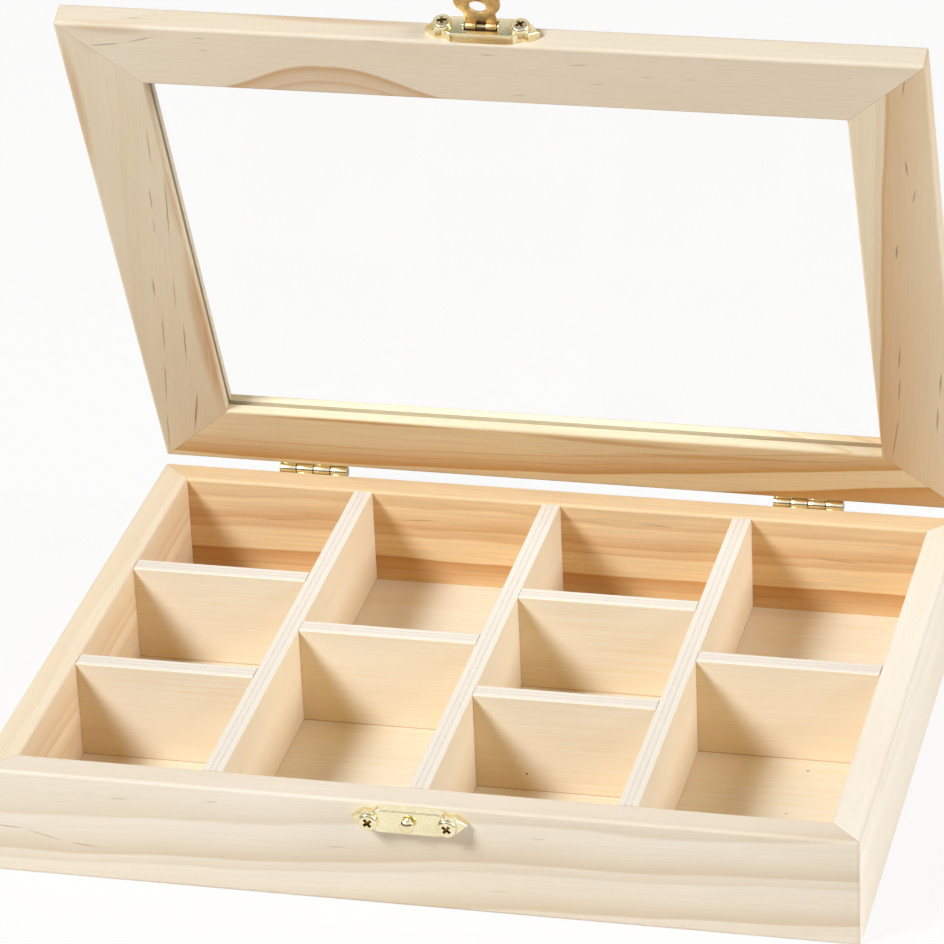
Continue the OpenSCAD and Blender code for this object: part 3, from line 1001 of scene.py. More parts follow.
@dataclass
class Base:
    """Four mitred pine walls with the floor panel let into them."""

    pine: Pine = field(default_factory=Pine)
    plywood: Plywood = field(default_factory=Plywood)
    figures: dict[Side, Figure] = field(default_factory=lambda: {
        Side.FRONT: Figure(
            pith=(40.0, 62.0), slope=(0.0, -0.05), wave=2.2, shift=(3.1, 0.4, 1.7),
            pale=paint(239, 231, 217), late=paint(213, 195, 164), contrast=0.3,
            bands=(GrowthBand((0.0, -5.75, 11.8), 8.0, 0.5), GrowthBand((50.0, -5.75, -0.3), 10.0, 0.75),
                   GrowthBand((100.0, -5.75, -15.8), 9.0, 0.75), GrowthBand((-90.0, -5.75, -11.0), 5.0, 0.4)),
            # Painted shade: a dark band along the wall's lower edge.
            tints=outer_marks((-170.0, -19.75, 170.0, -19.75, 1.1, 1.0)),
            marks=outer_marks((-147.0, -1.7, -134.0, -2.3, 0.35, 0.6),
                              (-136.0, -2.3, -120.0, -6.3, 0.3, 0.55),
                              (-121.0, -6.2, -108.0, -7.3, 0.35, 0.6), (-105.0, 12.2, -97.0, 12.8, 0.3, 0.45),
                              (-73.0, 13.7, -65.0, 14.8, 0.3, 0.45), (-31.0, 0.7, -22.0, 1.2, 0.3, 0.4),
                              (15.0, 4.2, 24.0, 4.8, 0.3, 0.4), (39.0, 10.2, 47.0, 10.8, 0.25, 0.4),
                              (25.0, -11.2, 33.0, -10.7, 0.25, 0.35),
                              # Painted shade: a dark line along the wall's lower edge.
                              (-170.0, -19.6, 170.0, -19.6, 0.55, 0.55))),
        Side.RIGHT: Figure(
            pith=(52.0, 60.0), slope=(0.0, 0.04), shift=(7.3, 2.2, 0.9),
            pale=paint(253, 249, 238), late=paint(243, 230, 208), contrast=0.45),
        Side.REAR: Figure(
            pith=(-36.0, 66.0), wave=1.6, ripple=0.7, shift=(1.6, 5.2, 4.1), streak=0.09, dashes=0.1,
            pale=paint(243, 221, 181), late=paint(204, 150, 92), contrast=0.5,
            bands=(GrowthBand((8.5, 5.75, 5.4), 6.0, 0.6), GrowthBand((8.5, 5.75, -7.2), -13.0, 0.9, 0.6),
                   GrowthBand((8.5, 5.75, -12.2), 2.2, 0.8, 0.5), GrowthBand((8.5, 5.75, 13.8), 2.5, 0.35)),
            marks=inner_marks((113.5, 4.7, 88.5, 6.2, 0.4, 0.5), (60.0, 8.4, 42.0, 9.6, 0.35, 0.5),
                              (-30.0, 14.3, -48.0, 13.7, 0.35, 0.5), (-96.0, 5.2, -118.0, 4.2, 0.4, 0.55))),
        Side.LEFT: Figure(
            pith=(-48.0, 62.0), shift=(9.4, 1.3, 6.6), pale=paint(247, 235, 212), late=paint(218, 184, 134),
            contrast=0.5,
            bands=(GrowthBand((20.0, 5.75, 3.2), 5.0, 0.5), GrowthBand((20.0, 5.75, -4.0), 4.0, 0.35))),
    })
    specks: tuple[Speck, ...] = ((114.5, -10.7, 3.0, 0.55), (112.1, -40.3, 3.0, 0.4))

    def dress(self) -> None:
        """Give walls and floor their finishes."""
        for side, figure in self.figures.items():
            across = side in (Side.FRONT, Side.REAR)
            node = f"{side.name.lower()}_wall"
            length = BOX.width if across else BOX.depth
            put_on(node, self.pine.material(BoardAxes(node, side.value), figure, length, BOX.wall))
        put_on("floor_panel", self.plywood.material(BoardAxes("floor_panel", 0), 2, BOX.floor, 0.0, 0.0,
                                                    self.specks, (4.0, 2.0, 0.0)))


@dataclass
class Dividers:
    """Three long and six short plywood dividers."""

    plywood: Plywood = field(default_factory=Plywood)
    cross_length: float = 64.0
    height: float = 36.2
    long_count: int = 3
    cross_count: int = 6
    face_speck: Speck = (21.6, -39.0, 9.6, 0.5)
    face_speck_node: str = "cross_divider_4"

    def dress(self) -> None:
        """Give every divider its own piece of plywood."""
        for i in range(1, self.long_count + 1):
            node = f"long_divider_{i}"
            put_on(node, self.plywood.material(BoardAxes(node, 1), 1, BOX.divider, 0.0, self.height,
                                               (), (i * 3.7, 0.0, i * 1.9)))
        for i in range(1, self.cross_count + 1):
            node = f"cross_divider_{i}"
            specks = (self.face_speck,) if node == self.face_speck_node else ()
            put_on(node, self.plywood.material(BoardAxes(node, 0), 1, BOX.divider, self.cross_length,
                                               self.height, specks, (i * 5.3, 0.0, i * 2.7)))


@dataclass
class Lid:
    """Mitred pine frame with a glass pane in its groove, standing open."""

    pine: Pine = field(default_factory=Pine)
    glass: ClearGlass = field(default_factory=ClearGlass)
    figures: dict[Side, Figure] = field(default_factory=lambda: {
        Side.FRONT: Figure(
            pith=(60.0, -30.0), arch=(-56.0, 33.0, 20.0), wave=1.2, ripple=0.4, shift=(2.2, 8.1, 3.3),
            pale=paint(233, 223, 204), late=paint(203, 168, 126), contrast=0.1,
            bands=(GrowthBand((-58.0, 0.5, -4.75), 26.0, 0.6, 1.2),
                   GrowthBand((-58.0, 0.5, -4.75), 7.5, 1.0, 1.2),
                   GrowthBand((-60.0, 7.4, -4.75), 6.0, 0.8, 1.6)),
            tints=(Mark((-98.0, -14.0, 3.8), (-8.0, -14.0, 3.0), 2.6, 0.5),
                   Mark((-150.0, -13.0, -4.75), (-112.0, -12.0, -4.75), 3.5, 0.4)),
            marks=(*under_marks((-141.0, -3.4, -125.0, -6.0, 0.45, 0.75),
                                (-127.0, -5.6, -112.0, -10.6, 0.4, 0.6),
                                (-101.0, -10.1, -96.0, -10.0, 0.35, 0.6),
                                (-101.0, -4.4, -95.0, -4.2, 0.35, 0.6),
                                (-42.0, -13.1, -31.0, -12.7, 0.35, 0.45), (-2.0, -9.2, 5.0, -9.1, 0.4, 0.6),
                                (28.0, -6.0, 38.0, -7.0, 0.3, 0.55), (35.0, 2.6, 42.0, 2.0, 0.35, 0.5),
                                (52.0, -2.0, 59.0, -2.6, 0.25, 0.5), (67.0, -2.0, 74.0, -2.3, 0.25, 0.5),
                                (6.0, 10.0, 14.0, 9.2, 0.3, 0.55)),
                   Mark((-126.0, -14.0, -0.8), (-118.0, -14.0, -0.3), 0.3, 0.5),
                   # Painted shade: a dark patch on the front edge behind the hasp plate's window.
                   Mark((-13.0, -14.0, 0.0), (13.0, -14.0, 0.0), 4.5, 1.6))),
        Side.RIGHT: Figure(
            pith=(-62.0, -26.0), slope=(-0.085, 0.0), wave=1.2, shift=(6.1, 3.4, 5.2),
            pale=paint(240, 229, 205), late=paint(210, 174, 128), contrast=0.25, dashes=0.08,
            bands=(GrowthBand((-34.5, 5.5, -4.75), 30.0, 0.75, 1.0),
                   GrowthBand((-34.5, 5.5, -4.75), 6.0, 1.0, 1.0)),
            marks=under_marks((-110.0, -7.0, -99.0, -5.4, 0.4, 0.75), (-70.0, -4.5, -60.0, -4.9, 0.45, 0.8),
                              (-56.0, -7.2, -47.0, -5.6, 0.4, 0.75), (-28.0, 0.8, -18.0, 2.0, 0.45, 0.8),
                              (24.0, 3.1, 41.0, 5.0, 0.4, 0.8), (42.0, 4.4, 58.0, 6.0, 0.4, 0.75),
                              (62.0, 5.8, 90.0, 10.6, 0.35, 0.85), (37.0, -10.6, 54.0, -8.8, 0.45, 0.85),
                              (55.0, -8.2, 74.0, -6.8, 0.4, 0.85))),
        Side.REAR: Figure(
            pith=(70.0, -30.0), bow=(90.0, 0.00036), wave=1.0, shift=(4.4, 6.9, 2.5), streak=0.07,
            pale=paint(241, 229, 198), late=paint(206, 161, 97), contrast=0.2,
            bands=(GrowthBand((90.0, -11.0, -4.75), 13.0, 0.95, 0.8),
                   GrowthBand((90.0, -2.0, -4.75), 1.6, 0.6, 0.5),
                   GrowthBand((90.0, -6.0, -4.75), 1.6, 0.8, 0.5),
                   GrowthBand((-100.0, -8.0, -4.75), -30.0, 1.0, 0.8)),
            tints=under_marks((125.0, 12.8, 20.0, 12.8, 1.2, 0.75), (20.0, 12.4, -70.0, 9.0, 1.6, 0.6),
                              (-10.0, 4.0, -116.0, 8.6, 2.2, 0.7)),
            marks=under_marks((-65.0, 6.2, -117.0, 9.0, 0.4, 0.45))),
        Side.LEFT: Figure(
            pith=(60.0, -40.0), slope=(-0.12, 0.0), shift=(8.7, 4.6, 1.1),
            pale=paint(231, 220, 197), late=paint(205, 170, 126), contrast=0.12, dashes=0.09,
            tints=under_marks((118.0, -12.0, 30.0, -14.0, 4.0, 0.6), (10.0, 13.5, -95.0, 12.5, 4.5, 0.75),
                              (50.0, 13.5, 0.0, 13.5, 2.5, 0.35), (118.0, 2.0, 98.0, -2.0, 9.0, 0.35)),
            marks=under_marks((-30.0, -1.0, -58.0, -4.6, 0.35, 0.7), (-13.0, -1.4, -26.0, -2.6, 0.4, 0.8),
                              (-57.0, -4.8, -87.0, -9.0, 0.35, 0.75),
                              (-87.0, -9.2, -114.0, -12.6, 0.35, 0.75),
                              (35.0, 6.0, 20.0, 4.8, 0.4, 0.7), (20.0, 4.8, 7.0, 3.4, 0.3, 0.6),
                              (66.0, 10.5, 44.0, 8.7, 0.35, 0.7), (43.0, 12.9, 4.0, 8.4, 0.4, 0.75),
                              (-35.0, 6.1, -64.0, 2.9, 0.4, 0.75), (-73.0, 5.2, -102.0, -1.0, 0.5, 0.95),
                              (-10.0, 6.6, -34.0, 4.0, 0.3, 0.55))),
    })

    def dress(self) -> None:
        """Give rails and glass their finishes."""
        for side, figure in self.figures.items():
            across = side in (Side.FRONT, Side.REAR)
            node = f"lid_{side.name.lower()}_rail"
            length = BOX.width if across else BOX.depth
            axes = BoardAxes(node, side.value, BOX.open_angle)
            put_on(node, self.pine.material(axes, figure, length, BOX.rail))
        put_on("glass_pane", self.glass.material())


# --- Hinges -----------------------------------------------------------------------------------


@dataclass
class Hinge:
    """Small butt hinge: two leaves with rolled knuckles, a pin and four screws."""

    side: Side
    length: float = 26.0
    barrel: float = 2.2
    gap: float = 0.3
    pin: float = 0.8
    play: float = 0.05
    knuckles: int = 4
    knuckle_gap: float = 0.3
    leaf: float = 0.9
    leaf_height: float = 8.0
    web_start: float = 0.6
    web_lap: float = 0.4
    rounding: float = 0.18

    def leaf_shape(self, first: int, up: int) -> Shape:
        """Make one leaf with its knuckles, about the pin's axis.

        Args:
            first: Place of its first knuckle from the left, 0 or 1.
            up: 1 for the leaf that stands above the pin, -1 for the one below it.

        Returns:
            The shape.
        """
        back = -self.barrel - self.gap
        pitch = self.length / self.knuckles
        clear = self.barrel + self.gap
        near, far = sorted((up * clear, up * self.leaf_height))
        half = self.length / 2
        parts = [slab((-half, back, near), (half, back + self.leaf, far), self.rounding)]
        for k in range(first, self.knuckles, 2):
            left = k * pitch - self.length / 2 + self.knuckle_gap / 2
            right = left + pitch - self.knuckle_gap
            parts.append(tube(left, right, self.pin + self.play, self.barrel, self.rounding))
            low, high = sorted((up * self.web_start, up * (clear + self.web_lap)))
            parts.append(slab((left, back, low), (right, back + self.leaf, high), self.rounding))
        return joined(parts)

    def build(self) -> None:
        """Build both leaves and dress the pin."""
        name = self.side.name.lower()
        middle = BOX.hinge_middle if self.side is Side.RIGHT else -BOX.hinge_middle
        brass = BRIGHT_BRASS.material(f"hinge_{name}")
        axis = Matrix.Translation((middle, BOX.axis_y, BOX.axis_z))
        finish_piece(self.leaf_shape(1, -1), f"hinge_{name}_lower_leaf", "base", brass,
                     f"base_leaf_{name}", axis)
        finish_piece(self.leaf_shape(0, 1), f"hinge_{name}_upper_leaf", "lid", brass,
                     f"lid_leaf_{name}", BOX.lid_place() @ axis)
        put_on(f"hinge_pin_{name}", PIN_BRASS.material(f"hinge_{name}"))


@dataclass
class HingeScrews:
    """Screws of both hinges, four in each leaf row."""

    pitch: float = 16.0
    from_axis: float = 5.1
    screw: CrossScrew = CrossScrew(head=1.6, head_height=0.8, shank=0.8, length=7.9, steps=24)
    leaf: float = 0.9

    def build(self) -> None:
        """Build the rows of the wall and of the lid."""
        brass = BRIGHT_BRASS.material("hinge_screws")
        rows = (("base_leaf_screws", "base", -1, Matrix.Identity(4)),
                ("lid_leaf_screws", "lid", 1, BOX.lid_place()))
        for node, body, up, place in rows:
            parts = []
            for side in (-1, 1):
                for half in (-1, 1):
                    x = side * BOX.hinge_middle + half * self.pitch / 2
                    z = BOX.axis_z + up * self.from_axis
                    head = Matrix.Translation((x, BOX.depth / 2 + self.leaf, z))
                    twist = Matrix.Rotation(math.radians(20.0 * side + 33.0 * half), 4, "Z")
                    parts.append(self.screw.shape(head @ Matrix.Rotation(-math.pi / 2, 4, "X") @ twist))
            finish_piece(joined(parts), f"{node}_row", body, brass, node, place)


# --- Latch ------------------------------------------------------------------------------------


@dataclass
class LatchPlate:
    """Pressed shell with pointed ends and notched shoulders, standing proud of the wood."""

    length: float = 39.4
    height: float = 8.5
    rise: float = 4.0
    sheet: float = 0.8
    tip_slope: float = 0.83
    notch: float = 2.7
    notch_x: float = 13.9
    notch_out: float = 0.9
    notch_steps: int = 14
    bend: float = 1.3
    outline_step: float = 0.6
    outline_ease: int = 8
    tip_start: float = 15.6
    tip_drop: float = 0.42
    window: tuple[float, float] = (0.0, 0.0)

    def outline(self) -> Shape:
        """Draw the plate's outline as one face, from a quarter of it mirrored twice."""
        bm = bmesh.new()
        tip, half = self.length / 2, self.height / 2
        centre = Vector((self.notch_x, half + self.notch_out, 0.0))
        slope, offset = self.tip_slope, self.tip_slope * tip - centre.y
        a = 1 + slope**2
        b = -2 * (centre.x + offset * slope)
        c = centre.x**2 + offset**2 - self.notch**2
        x = (-b + math.sqrt(b * b - 4 * a * c)) / (2 * a)
        shoulder = Vector((x, slope * (tip - x), 0.0))
        start = (shoulder - centre).to_2d()
        end_x = centre.x - math.sqrt(self.notch**2 - self.notch_out**2)
        from_angle = math.atan2(start.y, start.x)
        to_angle = math.atan2(-self.notch_out, end_x - centre.x)
        first = bm.verts.new((tip, 0.0, 0.0))
        corner = chain(bm, first, [shoulder])
        last = arc(bm, corner, centre, to_angle - from_angle, self.notch_steps, UP)
        chain(bm, last, [(0.0, half, 0.0)])
        for axis in ("X", "Y"):
            bmesh.ops.mirror(bm, geom=[*bm.verts, *bm.edges], matrix=Matrix.Identity(4), merge_dist=1e-4,
                             axis=axis)
        for edge in list(bm.edges):
            cuts = int(edge.calc_length() / self.outline_step)
            if cuts:
                bmesh.ops.subdivide_edges(bm, edges=[edge], cuts=cuts)
        soft = [v for v in bm.verts if abs(v.co.x) < tip - 0.1]
        for _ in range(self.outline_ease):
            bmesh.ops.smooth_vert(bm, verts=soft, factor=0.5, use_axis_x=True, use_axis_y=True)
        bmesh.ops.contextual_create(bm, geom=list(bm.edges))
        face_out(bm)
        return bm

    def skin(self) -> Shape:
        """Press the outline into a shell with soft bends and falling tips.

        Returns:
            The shell, as thick as its sheet.
        """
        bm = self.outline()
        flat = list(bm.faces)
        if flat[0].normal.z < 0:
            bmesh.ops.reverse_faces(bm, faces=flat)
        raised = made_vertices(bmesh.ops.extrude_face_region(bm, geom=flat)["geom"])
        bmesh.ops.translate(bm, vec=(0.0, 0.0, self.rise), verts=raised)
        bottom = [f for f in bm.faces if f.calc_center_median().z < 0.01]
        bmesh.ops.delete(bm, geom=bottom, context="FACES_ONLY")
        face_out(bm)
        rim = [e for e in bm.edges if all(v.co.z > self.rise - 0.01 for v in e.verts)]
        rim_bevel(bm, rim, self.bend, 4)
        for x in (self.tip_start, (self.tip_start + self.length / 2) / 2):
            for side in (-1, 1):
                bmesh.ops.bisect_plane(bm, geom=[*bm.verts, *bm.edges, *bm.faces],
                                       plane_co=(side * x, 0.0, 0.0), plane_no=(1.0, 0.0, 0.0))
        for vertex in bm.verts:
            beyond = (abs(vertex.co.x) - self.tip_start) / (self.length / 2 - self.tip_start)
            if beyond > 0:
                vertex.co.z *= 1 - self.tip_drop * beyond
        if self.window[0]:
            self._cut_window(bm)
        face_out(bm)
        if max(bm.faces, key=lambda f: f.calc_area()).normal.z < 0:
            bmesh.ops.reverse_faces(bm, faces=list(bm.faces))
        bmesh.ops.solidify(bm, geom=list(bm.faces), thickness=self.sheet)
        return bm

    def _cut_window(self, bm: Shape) -> None:
        """Cut the window for the hasp barrel through the raised face."""
        half_w, half_h = self.window[0] / 2, self.window[1] / 2
        for x, y in ((half_w, 0.0), (-half_w, 0.0), (0.0, half_h), (0.0, -half_h)):
            flat = [f for f in bm.faces if abs(f.normal.z) > 0.9]
            near = [f for f in flat if x or abs(f.calc_center_median().x) < half_w]
            cut = {g for f in near for g in (*f.verts, *f.edges, f)}
            bmesh.ops.bisect_plane(bm, geom=list(cut), plane_co=(x, y, 0.0), plane_no=(x, y, 0.0))
        raised = ((f, f.calc_center_median()) for f in bm.faces)
        gone = [f for f, c in raised if abs(c.x) < half_w and abs(c.y) < half_h and c.z > self.rise - 0.1]
        bmesh.ops.delete(bm, geom=gone, context="FACES")


@dataclass
class Catch:
    """Catch plate on the front wall with its stud and two screws."""

    brass: Brass = BRIGHT_BRASS
    drop: float = 4.95
    plate: LatchPlate = field(default_factory=LatchPlate)
    screw: CrossScrew = CrossScrew(head=3.4, head_height=2.0, shank=1.25, length=11.0)
    screw_pitch: float = 26.8
    twists: tuple[float, float] = (38.0, 52.0)
    stud_head: float = 2.5
    stud_rise: float = 1.35
    stud_brim: float = 0.25
    stud_neck: float = 1.6
    neck_height: float = 1.65
    tail: float = 1.2
    upset: float = 1.8
    upset_height: float = 0.6

    def stud_shape(self) -> Shape:
        """Turn the stud: domed head, neck with a small foot, tail and upset end.

        Returns:
            The shape, about the middle of the plate's raised face.
        """
        bm = bmesh.new()
        brim = self.neck_height + self.stud_brim
        ball = (self.stud_head**2 + self.stud_rise**2) / (2 * self.stud_rise)
        top = bm.verts.new((0.0, 0.0, brim + self.stud_rise))
        centre = Vector((0.0, 0.0, brim + self.stud_rise - ball))
        edge = arc(bm, top, centre, math.asin(self.stud_head / ball), 8, Vector((0.0, 1.0, 0.0)))
        inside = -self.plate.sheet
        chain(bm, edge, [
            (self.stud_head * 0.95, 0.0, self.neck_height), (self.stud_neck, 0.0, self.neck_height),
            (self.stud_neck, 0.0, 0.35), (self.stud_neck * 1.2, 0.0, 0.02), (self.tail, 0.0, 0.0),
            (self.tail, 0.0, inside), (self.upset, 0.0, inside),
            (self.upset, 0.0, inside - self.upset_height),
            (0.0, 0.0, inside - self.upset_height),
        ])
        turn_round(bm, (0.0, 0.0, 1.0), 32)
        bmesh.ops.remove_doubles(bm, verts=list(bm.verts), dist=1e-4)
        face_out(bm)
        return bm

    def screws_shape(self) -> Shape:
        """Make the plate's two screws."""
        parts = []
        for side, twist in zip((-1, 1), self.twists):
            head = Matrix.Translation((side * self.screw_pitch / 2, 0.0, self.plate.rise))
            parts.append(self.screw.shape(head @ Matrix.Rotation(math.radians(twist), 4, "Z")))
        return joined(parts)

    def build(self) -> None:
        """Build plate, stud and screws on the front wall."""
        brass = self.brass.material("catch")
        place = BOX.on_front(BOX.height - self.drop)
        on_plate = place @ Matrix.Translation((0.0, 0.0, self.plate.rise))
        for shape, name, node, at in (
                (self.plate.skin(), "catch_pressed_plate", "catch_plate", place),
                (self.stud_shape(), "catch_turned_stud", "catch_stud", on_plate),
                (self.screws_shape(), "catch_cross_screws", "catch_screws", place)):
            finish_piece(shape, name, "base", brass, node, at)


@dataclass
class Hasp:
    """Plate on the lid's front edge and the frosted loop that turns on its pin."""

    brass: Brass = BRIGHT_BRASS
    frosted: Brass = FROSTED_BRASS
    plate: LatchPlate = field(default_factory=lambda: LatchPlate(window=(11.4, 5.0)))
    catch: Catch = field(default_factory=lambda: Catch(twists=(12.0, 41.0)))
    pin_out: float = 3.75
    pin: float = 0.6
    play: float = 0.05
    lug: float = 1.45
    lug_foot: float = 0.4
    lug_rounding: float = 0.16
    rim_rounding: float = 0.24
    knuckle_rounding: float = 0.2
    lip_rounding: float = 0.3
    sheet: float = 1.0
    lift: float = 82.0
    neck_w: float = 10.8
    slot_w: float = 3.4
    slot_depth: float = 2.2
    reach: float = 9.8
    body_at: float = 12.3
    body: float = 8.0
    end_at: float = 21.8
    tab_w: float = 6.0
    eye: tuple[float, float] = (5.8, 6.2)

    def lug_shape(self, side: int) -> Shape:
        """Make the lug at one end of the window.

        Args:
            side: 1 for the right lug, -1 for the left.

        Returns:
            The shape.
        """
        bm = bmesh.new()
        inner = self.plate.window[0] / 2
        start = bm.verts.new((inner, self.lug, self.pin_out))
        end = arc(bm, start, Vector((inner, 0.0, self.pin_out)), math.pi, 16, Vector((1.0, 0.0, 0.0)))
        low = chain(bm, end, [(inner, -self.lug, self.lug_foot), (inner, self.lug, self.lug_foot)])
        bm.edges.new((low, start))
        bmesh.ops.contextual_create(bm, geom=list(bm.edges))
        made = bmesh.ops.extrude_face_region(bm, geom=list(bm.faces))["geom"]
        bmesh.ops.translate(bm, vec=(self.plate.sheet, 0.0, 0.0), verts=made_vertices(made))
        face_out(bm)
        rim_bevel(bm, sharp_edges(bm), self.lug_rounding, 2)
        if side < 0:
            bmesh.ops.scale(bm, vec=(-1.0, 1.0, 1.0), verts=list(bm.verts))
            face_out(bm)
        return bm

    def loop_outline(self) -> Shape:
        """Draw the loop's outline with its eye, hanging from the pin, as flat faces."""
        bm = bmesh.new()
        half_neck, half_tab, half_slot = self.neck_w / 2, self.tab_w / 2, self.slot_w / 2
        neck_y = -self.body_at + math.sqrt(self.body**2 - half_neck**2)
        tab_y = -self.body_at - math.sqrt(self.body**2 - half_tab**2)
        start = bm.verts.new((0.0, -self.slot_depth, 0.0))
        last = chain(bm, start, [(half_slot, -self.slot_depth, 0.0), (half_slot, 0.0, 0.0),
                                 (half_neck, 0.0, 0.0), (half_neck, neck_y, 0.0)])
        centre = Vector((0.0, -self.body_at, 0.0))
        from_angle = math.atan2(neck_y + self.body_at, half_neck)
        to_angle = math.atan2(tab_y + self.body_at, half_tab)
        last = arc(bm, last, centre, to_angle - from_angle, 20, UP)
        chain(bm, last, [(half_tab, -self.end_at, 0.0), (0.0, -self.end_at, 0.0)])
        ring, play = self.eye[0] / 2, (self.eye[1] - self.eye[0]) / 2
        top = bm.verts.new((0.0, -self.reach + play + ring, 0.0))
        side = arc(bm, top, Vector((0.0, -self.reach + play, 0.0)), -math.pi / 2, 8, UP)
        side = chain(bm, side, [(ring, -self.reach - play, 0.0)])
        arc(bm, side, Vector((0.0, -self.reach - play, 0.0)), -math.pi / 2, 8, UP)
        bmesh.ops.mirror(bm, geom=[*bm.verts, *bm.edges], matrix=Matrix.Identity(4), merge_dist=1e-4,
                         axis="X")
        bmesh.ops.triangle_fill(bm, use_beauty=True, edges=list(bm.edges), normal=UP)
        face_out(bm)
        return bm

    def loop_shape(self) -> Shape:
        """Make the loop with its rolled knuckles and finger lip.

        Returns:
            The shape, hanging from the pin at its origin.
        """
        bm = self.loop_outline()
        made = bmesh.ops.extrude_face_region(bm, geom=list(bm.faces))["geom"]
        bmesh.ops.translate(bm, vec=(0.0, 0.0, self.sheet), verts=made_vertices(made))
        face_out(bm)
        rims = [e for e in sharp_edges(bm) if abs(e.verts[0].co.z - e.verts[1].co.z) < 1e-4]
        rim_bevel(bm, rims, self.rim_rounding, 3)
        bmesh.ops.translate(bm, vec=(0.0, 0.0, self.pin), verts=list(bm.verts))
        parts = [bm]
        knuckle = self.pin + self.sheet
        for low, high in ((self.slot_w / 2, self.neck_w / 2), (-self.neck_w / 2, -self.slot_w / 2)):
            parts.append(tube(low, high, self.pin + self.play, knuckle, self.knuckle_rounding))
        lip = bmesh.new()
        place = Matrix.Translation((0.0, -self.end_at, knuckle)) @ Matrix.Rotation(math.pi / 2, 4, "Y")
        bmesh.ops.create_cone(lip, cap_ends=True, segments=28, radius1=self.sheet, radius2=self.sheet,
                              depth=self.tab_w, matrix=place)
        rim_bevel(lip, sharp_edges(lip), self.lip_rounding, 3)
        parts.append(lip)
        return joined(parts)

    def build(self) -> None:
        """Build plate, screws and loop on the open lid."""
        brass = self.brass.material("hasp")
        middle = BOX.height + BOX.lid_gap + BOX.lid / 2
        place = BOX.lid_place() @ BOX.on_front(middle)
        shape = joined([self.plate.skin(), self.lug_shape(1), self.lug_shape(-1)])
        finish_piece(shape, "hasp_pressed_plate", "lid", brass, "hasp_plate", place)
        finish_piece(self.catch.screws_shape(), "hasp_cross_screws", "lid", brass,
                     "hasp_screws", place)
        put_on("hasp_pin", brass)
        pin_place = place @ Matrix.Translation((0.0, 0.0, self.pin_out))
        lifted = pin_place @ Matrix.Rotation(math.radians(-self.lift), 4, "X")
        finish_piece(self.loop_shape(), "hasp_pressed_loop", "hasp",
                     self.frosted.material("loop"), "hasp_loop", lifted)


# --- Studio -----------------------------------------------------------------------------------


@dataclass(frozen=True)
class SoftLamp:
    """Square studio lamp that faces the box."""

    name: str
    towards: Triple
    distance: float
    size: float
    share: float
    colour: Triple = (1.0, 1.0, 1.0)

    def build(self, target: Vector) -> None:
        """Hang the lamp.

        Args:
            target: Point that it faces.
        """
        direction = Vector(self.towards).normalized()
        light = bpy.data.lights.new(self.name, "AREA")
        light.shape = "SQUARE"
        light.size = self.size
        light.energy = self.share * (math.pi * self.distance) ** 2
        light.color = self.colour
        lamp = bpy.data.objects.new(self.name, light)
        lamp.location = target + direction * self.distance
        lamp.rotation_mode = "QUATERNION"
        lamp.rotation_quaternion = direction.to_track_quat("Z", "Y")
        lamp.visible_transmission = False
        bpy.context.scene.collection.objects.link(lamp)
        LOG.info("%s lights the box", self.name)


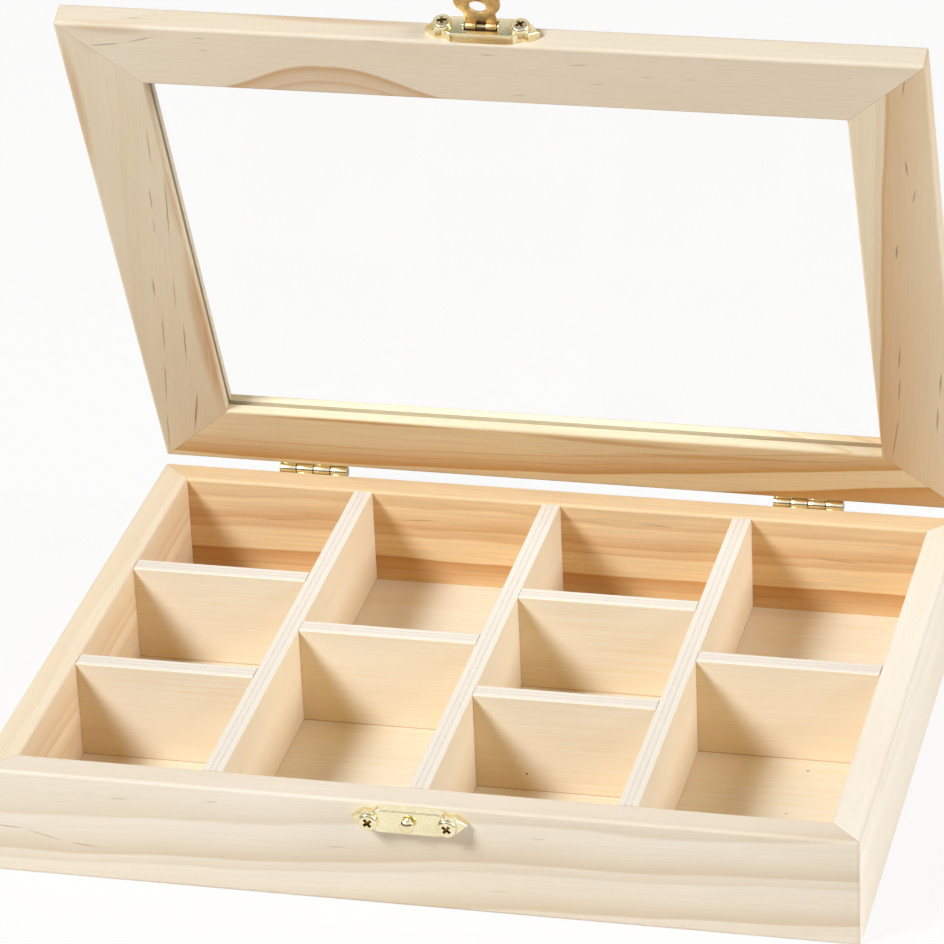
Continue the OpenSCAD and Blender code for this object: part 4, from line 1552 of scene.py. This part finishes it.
@dataclass
class Studio:
    """White floor and background with one key lamp, one side lamp and an even fill."""

    floor_size: float = 9.0
    fill: float = 0.14
    fill_colour: Colour = (1.0, 0.63, 0.27, 1.0)
    flag_front: float = 0.18
    flag_rear: Colour = (0.7, 0.55, 0.36, 1.0)
    flag_top: float = 0.38
    front_edge: tuple[float, float] = (0.38, 0.48)
    rear_edge: tuple[float, float] = (0.65, 0.78)
    top_edge: tuple[float, float] = (0.8, 0.95)
    seen_share: float = 0.9
    floor_white: float = 0.86
    target: Vector = field(default_factory=lambda: Vector((0.0, 0.0, 0.08)))
    lamps: tuple[SoftLamp, ...] = (
        SoftLamp("key_lamp", (-0.53, -0.56, 0.69), 2.6, 0.72, 0.86, (0.98, 1.01, 1.03)),
        SoftLamp("side_lamp", (0.90, -0.14, 0.45), 2.6, 1.1, 0.58),
    )

    def build(self) -> None:
        """Lay the floor, hang the lamps and set the background."""
        for lamp in self.lamps:
            lamp.build(self.target)
        self._floor()
        self._world()

    @staticmethod
    def _seen(graph: Graph, *kinds: str) -> Socket:
        """Tell rays of these kinds that show the background to the eye, with no soft bounce before."""
        path = graph.add("ShaderNodeLightPath").outputs
        seen = path[kinds[0]]
        for kind in kinds[1:]:
            seen = graph.calc("MAXIMUM", seen, path[kind])
        return graph.calc("MULTIPLY", seen, graph.calc("LESS_THAN", path["Diffuse Depth"], 0.5))

    def _floor(self) -> None:
        """Lay a pale floor that keeps the box's shadow."""
        bm = bmesh.new()
        bmesh.ops.create_grid(bm, x_segments=1, y_segments=1, size=self.floor_size / 2)
        mesh = bpy.data.meshes.new("studio_floor")
        bm.to_mesh(mesh)
        bm.free()
        graph = Graph.of_material("studio_floor")
        seen = self._seen(graph, "Is Camera Ray", "Is Glossy Ray", "Is Transmission Ray")
        plain = graph.add("ShaderNodeBsdfDiffuse", {"Color": (self.floor_white,) * 3 + (1.0,)}).outputs[0]
        glow = graph.add("ShaderNodeEmission", {"Color": WHITE, "Strength": 1.0}).outputs[0]
        bright = graph.add("ShaderNodeMixShader", {0: self.seen_share, 1: plain, 2: glow}).outputs[0]
        shown = graph.add("ShaderNodeMixShader", {0: seen, 1: plain, 2: bright}).outputs[0]
        mesh.materials.append(graph.surface(shown))
        floor = bpy.data.objects.new("studio_floor", mesh)
        bpy.context.scene.collection.objects.link(floor)

    def _world(self) -> None:
        """Set a white background and the even fill light, with dark flags that only metal mirrors."""
        graph = Graph(bpy.data.worlds.new("studio_world"))
        mirror = graph.add("ShaderNodeLightPath").outputs["Is Glossy Ray"]
        toward = graph.add("ShaderNodeTexCoord").outputs["Generated"]
        way = graph.add("ShaderNodeSeparateXYZ", {0: toward}).outputs
        forward = graph.calc("LESS_THAN", way[1], 0.0)
        low = graph.remap(way[2], *self.front_edge, self.flag_front, 1.0)
        front = graph.remap(forward, 0.0, 1.0, 1.0, low)
        high = graph.remap(way[2], *self.top_edge, 1.0, self.flag_top)
        rear = graph.remap(way[2], *self.rear_edge, 1.0, 0.0)
        rear = graph.calc("MULTIPLY", rear, graph.calc("SUBTRACT", 1.0, forward))
        room = graph.mix(rear, WHITE, self.flag_rear)
        strength = graph.remap(mirror, 0.0, 1.0, self.fill, graph.calc("MULTIPLY", front, high))
        lit = graph.add("ShaderNodeBackground", {0: graph.mix(mirror, self.fill_colour, room), 1: strength})
        white = graph.add("ShaderNodeBackground", {0: WHITE, 1: 1.0})
        seen = self._seen(graph, "Is Camera Ray", "Is Transmission Ray")
        shown = graph.add("ShaderNodeMixShader", {0: seen, 1: lit.outputs[0], 2: white.outputs[0]})
        graph.add("ShaderNodeOutputWorld", {0: shown.outputs[0]})
        bpy.context.scene.world = graph.holder


@dataclass(frozen=True)
class PhotoCamera:
    """Camera at the photograph's place: angles in degrees, place in metres."""

    place: Triple = (0.3875396, -1.5323489, 0.9090034)
    azimuth: float = 14.2966
    elevation: float = 26.9617
    roll: float = -2.6117
    lens: float = 197.1
    sensor: float = 36.0

    def build(self) -> None:
        """Set up the camera and make it the scene's."""
        turn, rise, roll = (math.radians(v) for v in (self.azimuth, self.elevation, self.roll))
        back = Vector((math.sin(turn) * math.cos(rise), -math.cos(turn) * math.cos(rise), math.sin(rise)))
        level = Vector((math.cos(turn), math.sin(turn), 0.0))
        right = level * math.cos(roll) + back.cross(level) * math.sin(roll)
        up = back.cross(right)
        data = bpy.data.cameras.new("photo_camera")
        data.lens = self.lens
        data.sensor_width = self.sensor
        data.sensor_fit = "HORIZONTAL"
        camera = bpy.data.objects.new("photo_camera", data)
        camera.matrix_world = Matrix.Translation(self.place) @ Matrix((right, up, back)).transposed().to_4x4()
        bpy.context.scene.collection.objects.link(camera)
        bpy.context.scene.camera = camera


def main() -> None:
    """Build the box's pieces in order, then the studio and the camera."""
    logging.basicConfig(level=logging.INFO, format="%(name)s: %(message)s")
    bpy.context.scene.view_settings.view_transform = "Standard"
    Base().dress()
    Dividers().dress()
    Lid().dress()
    Hinge(Side.LEFT).build()
    Hinge(Side.RIGHT).build()
    HingeScrews().build()
    Catch().build()
    Hasp().build()
    Studio().build()
    PhotoCamera().build()


if __name__ == "__main__":
    main()
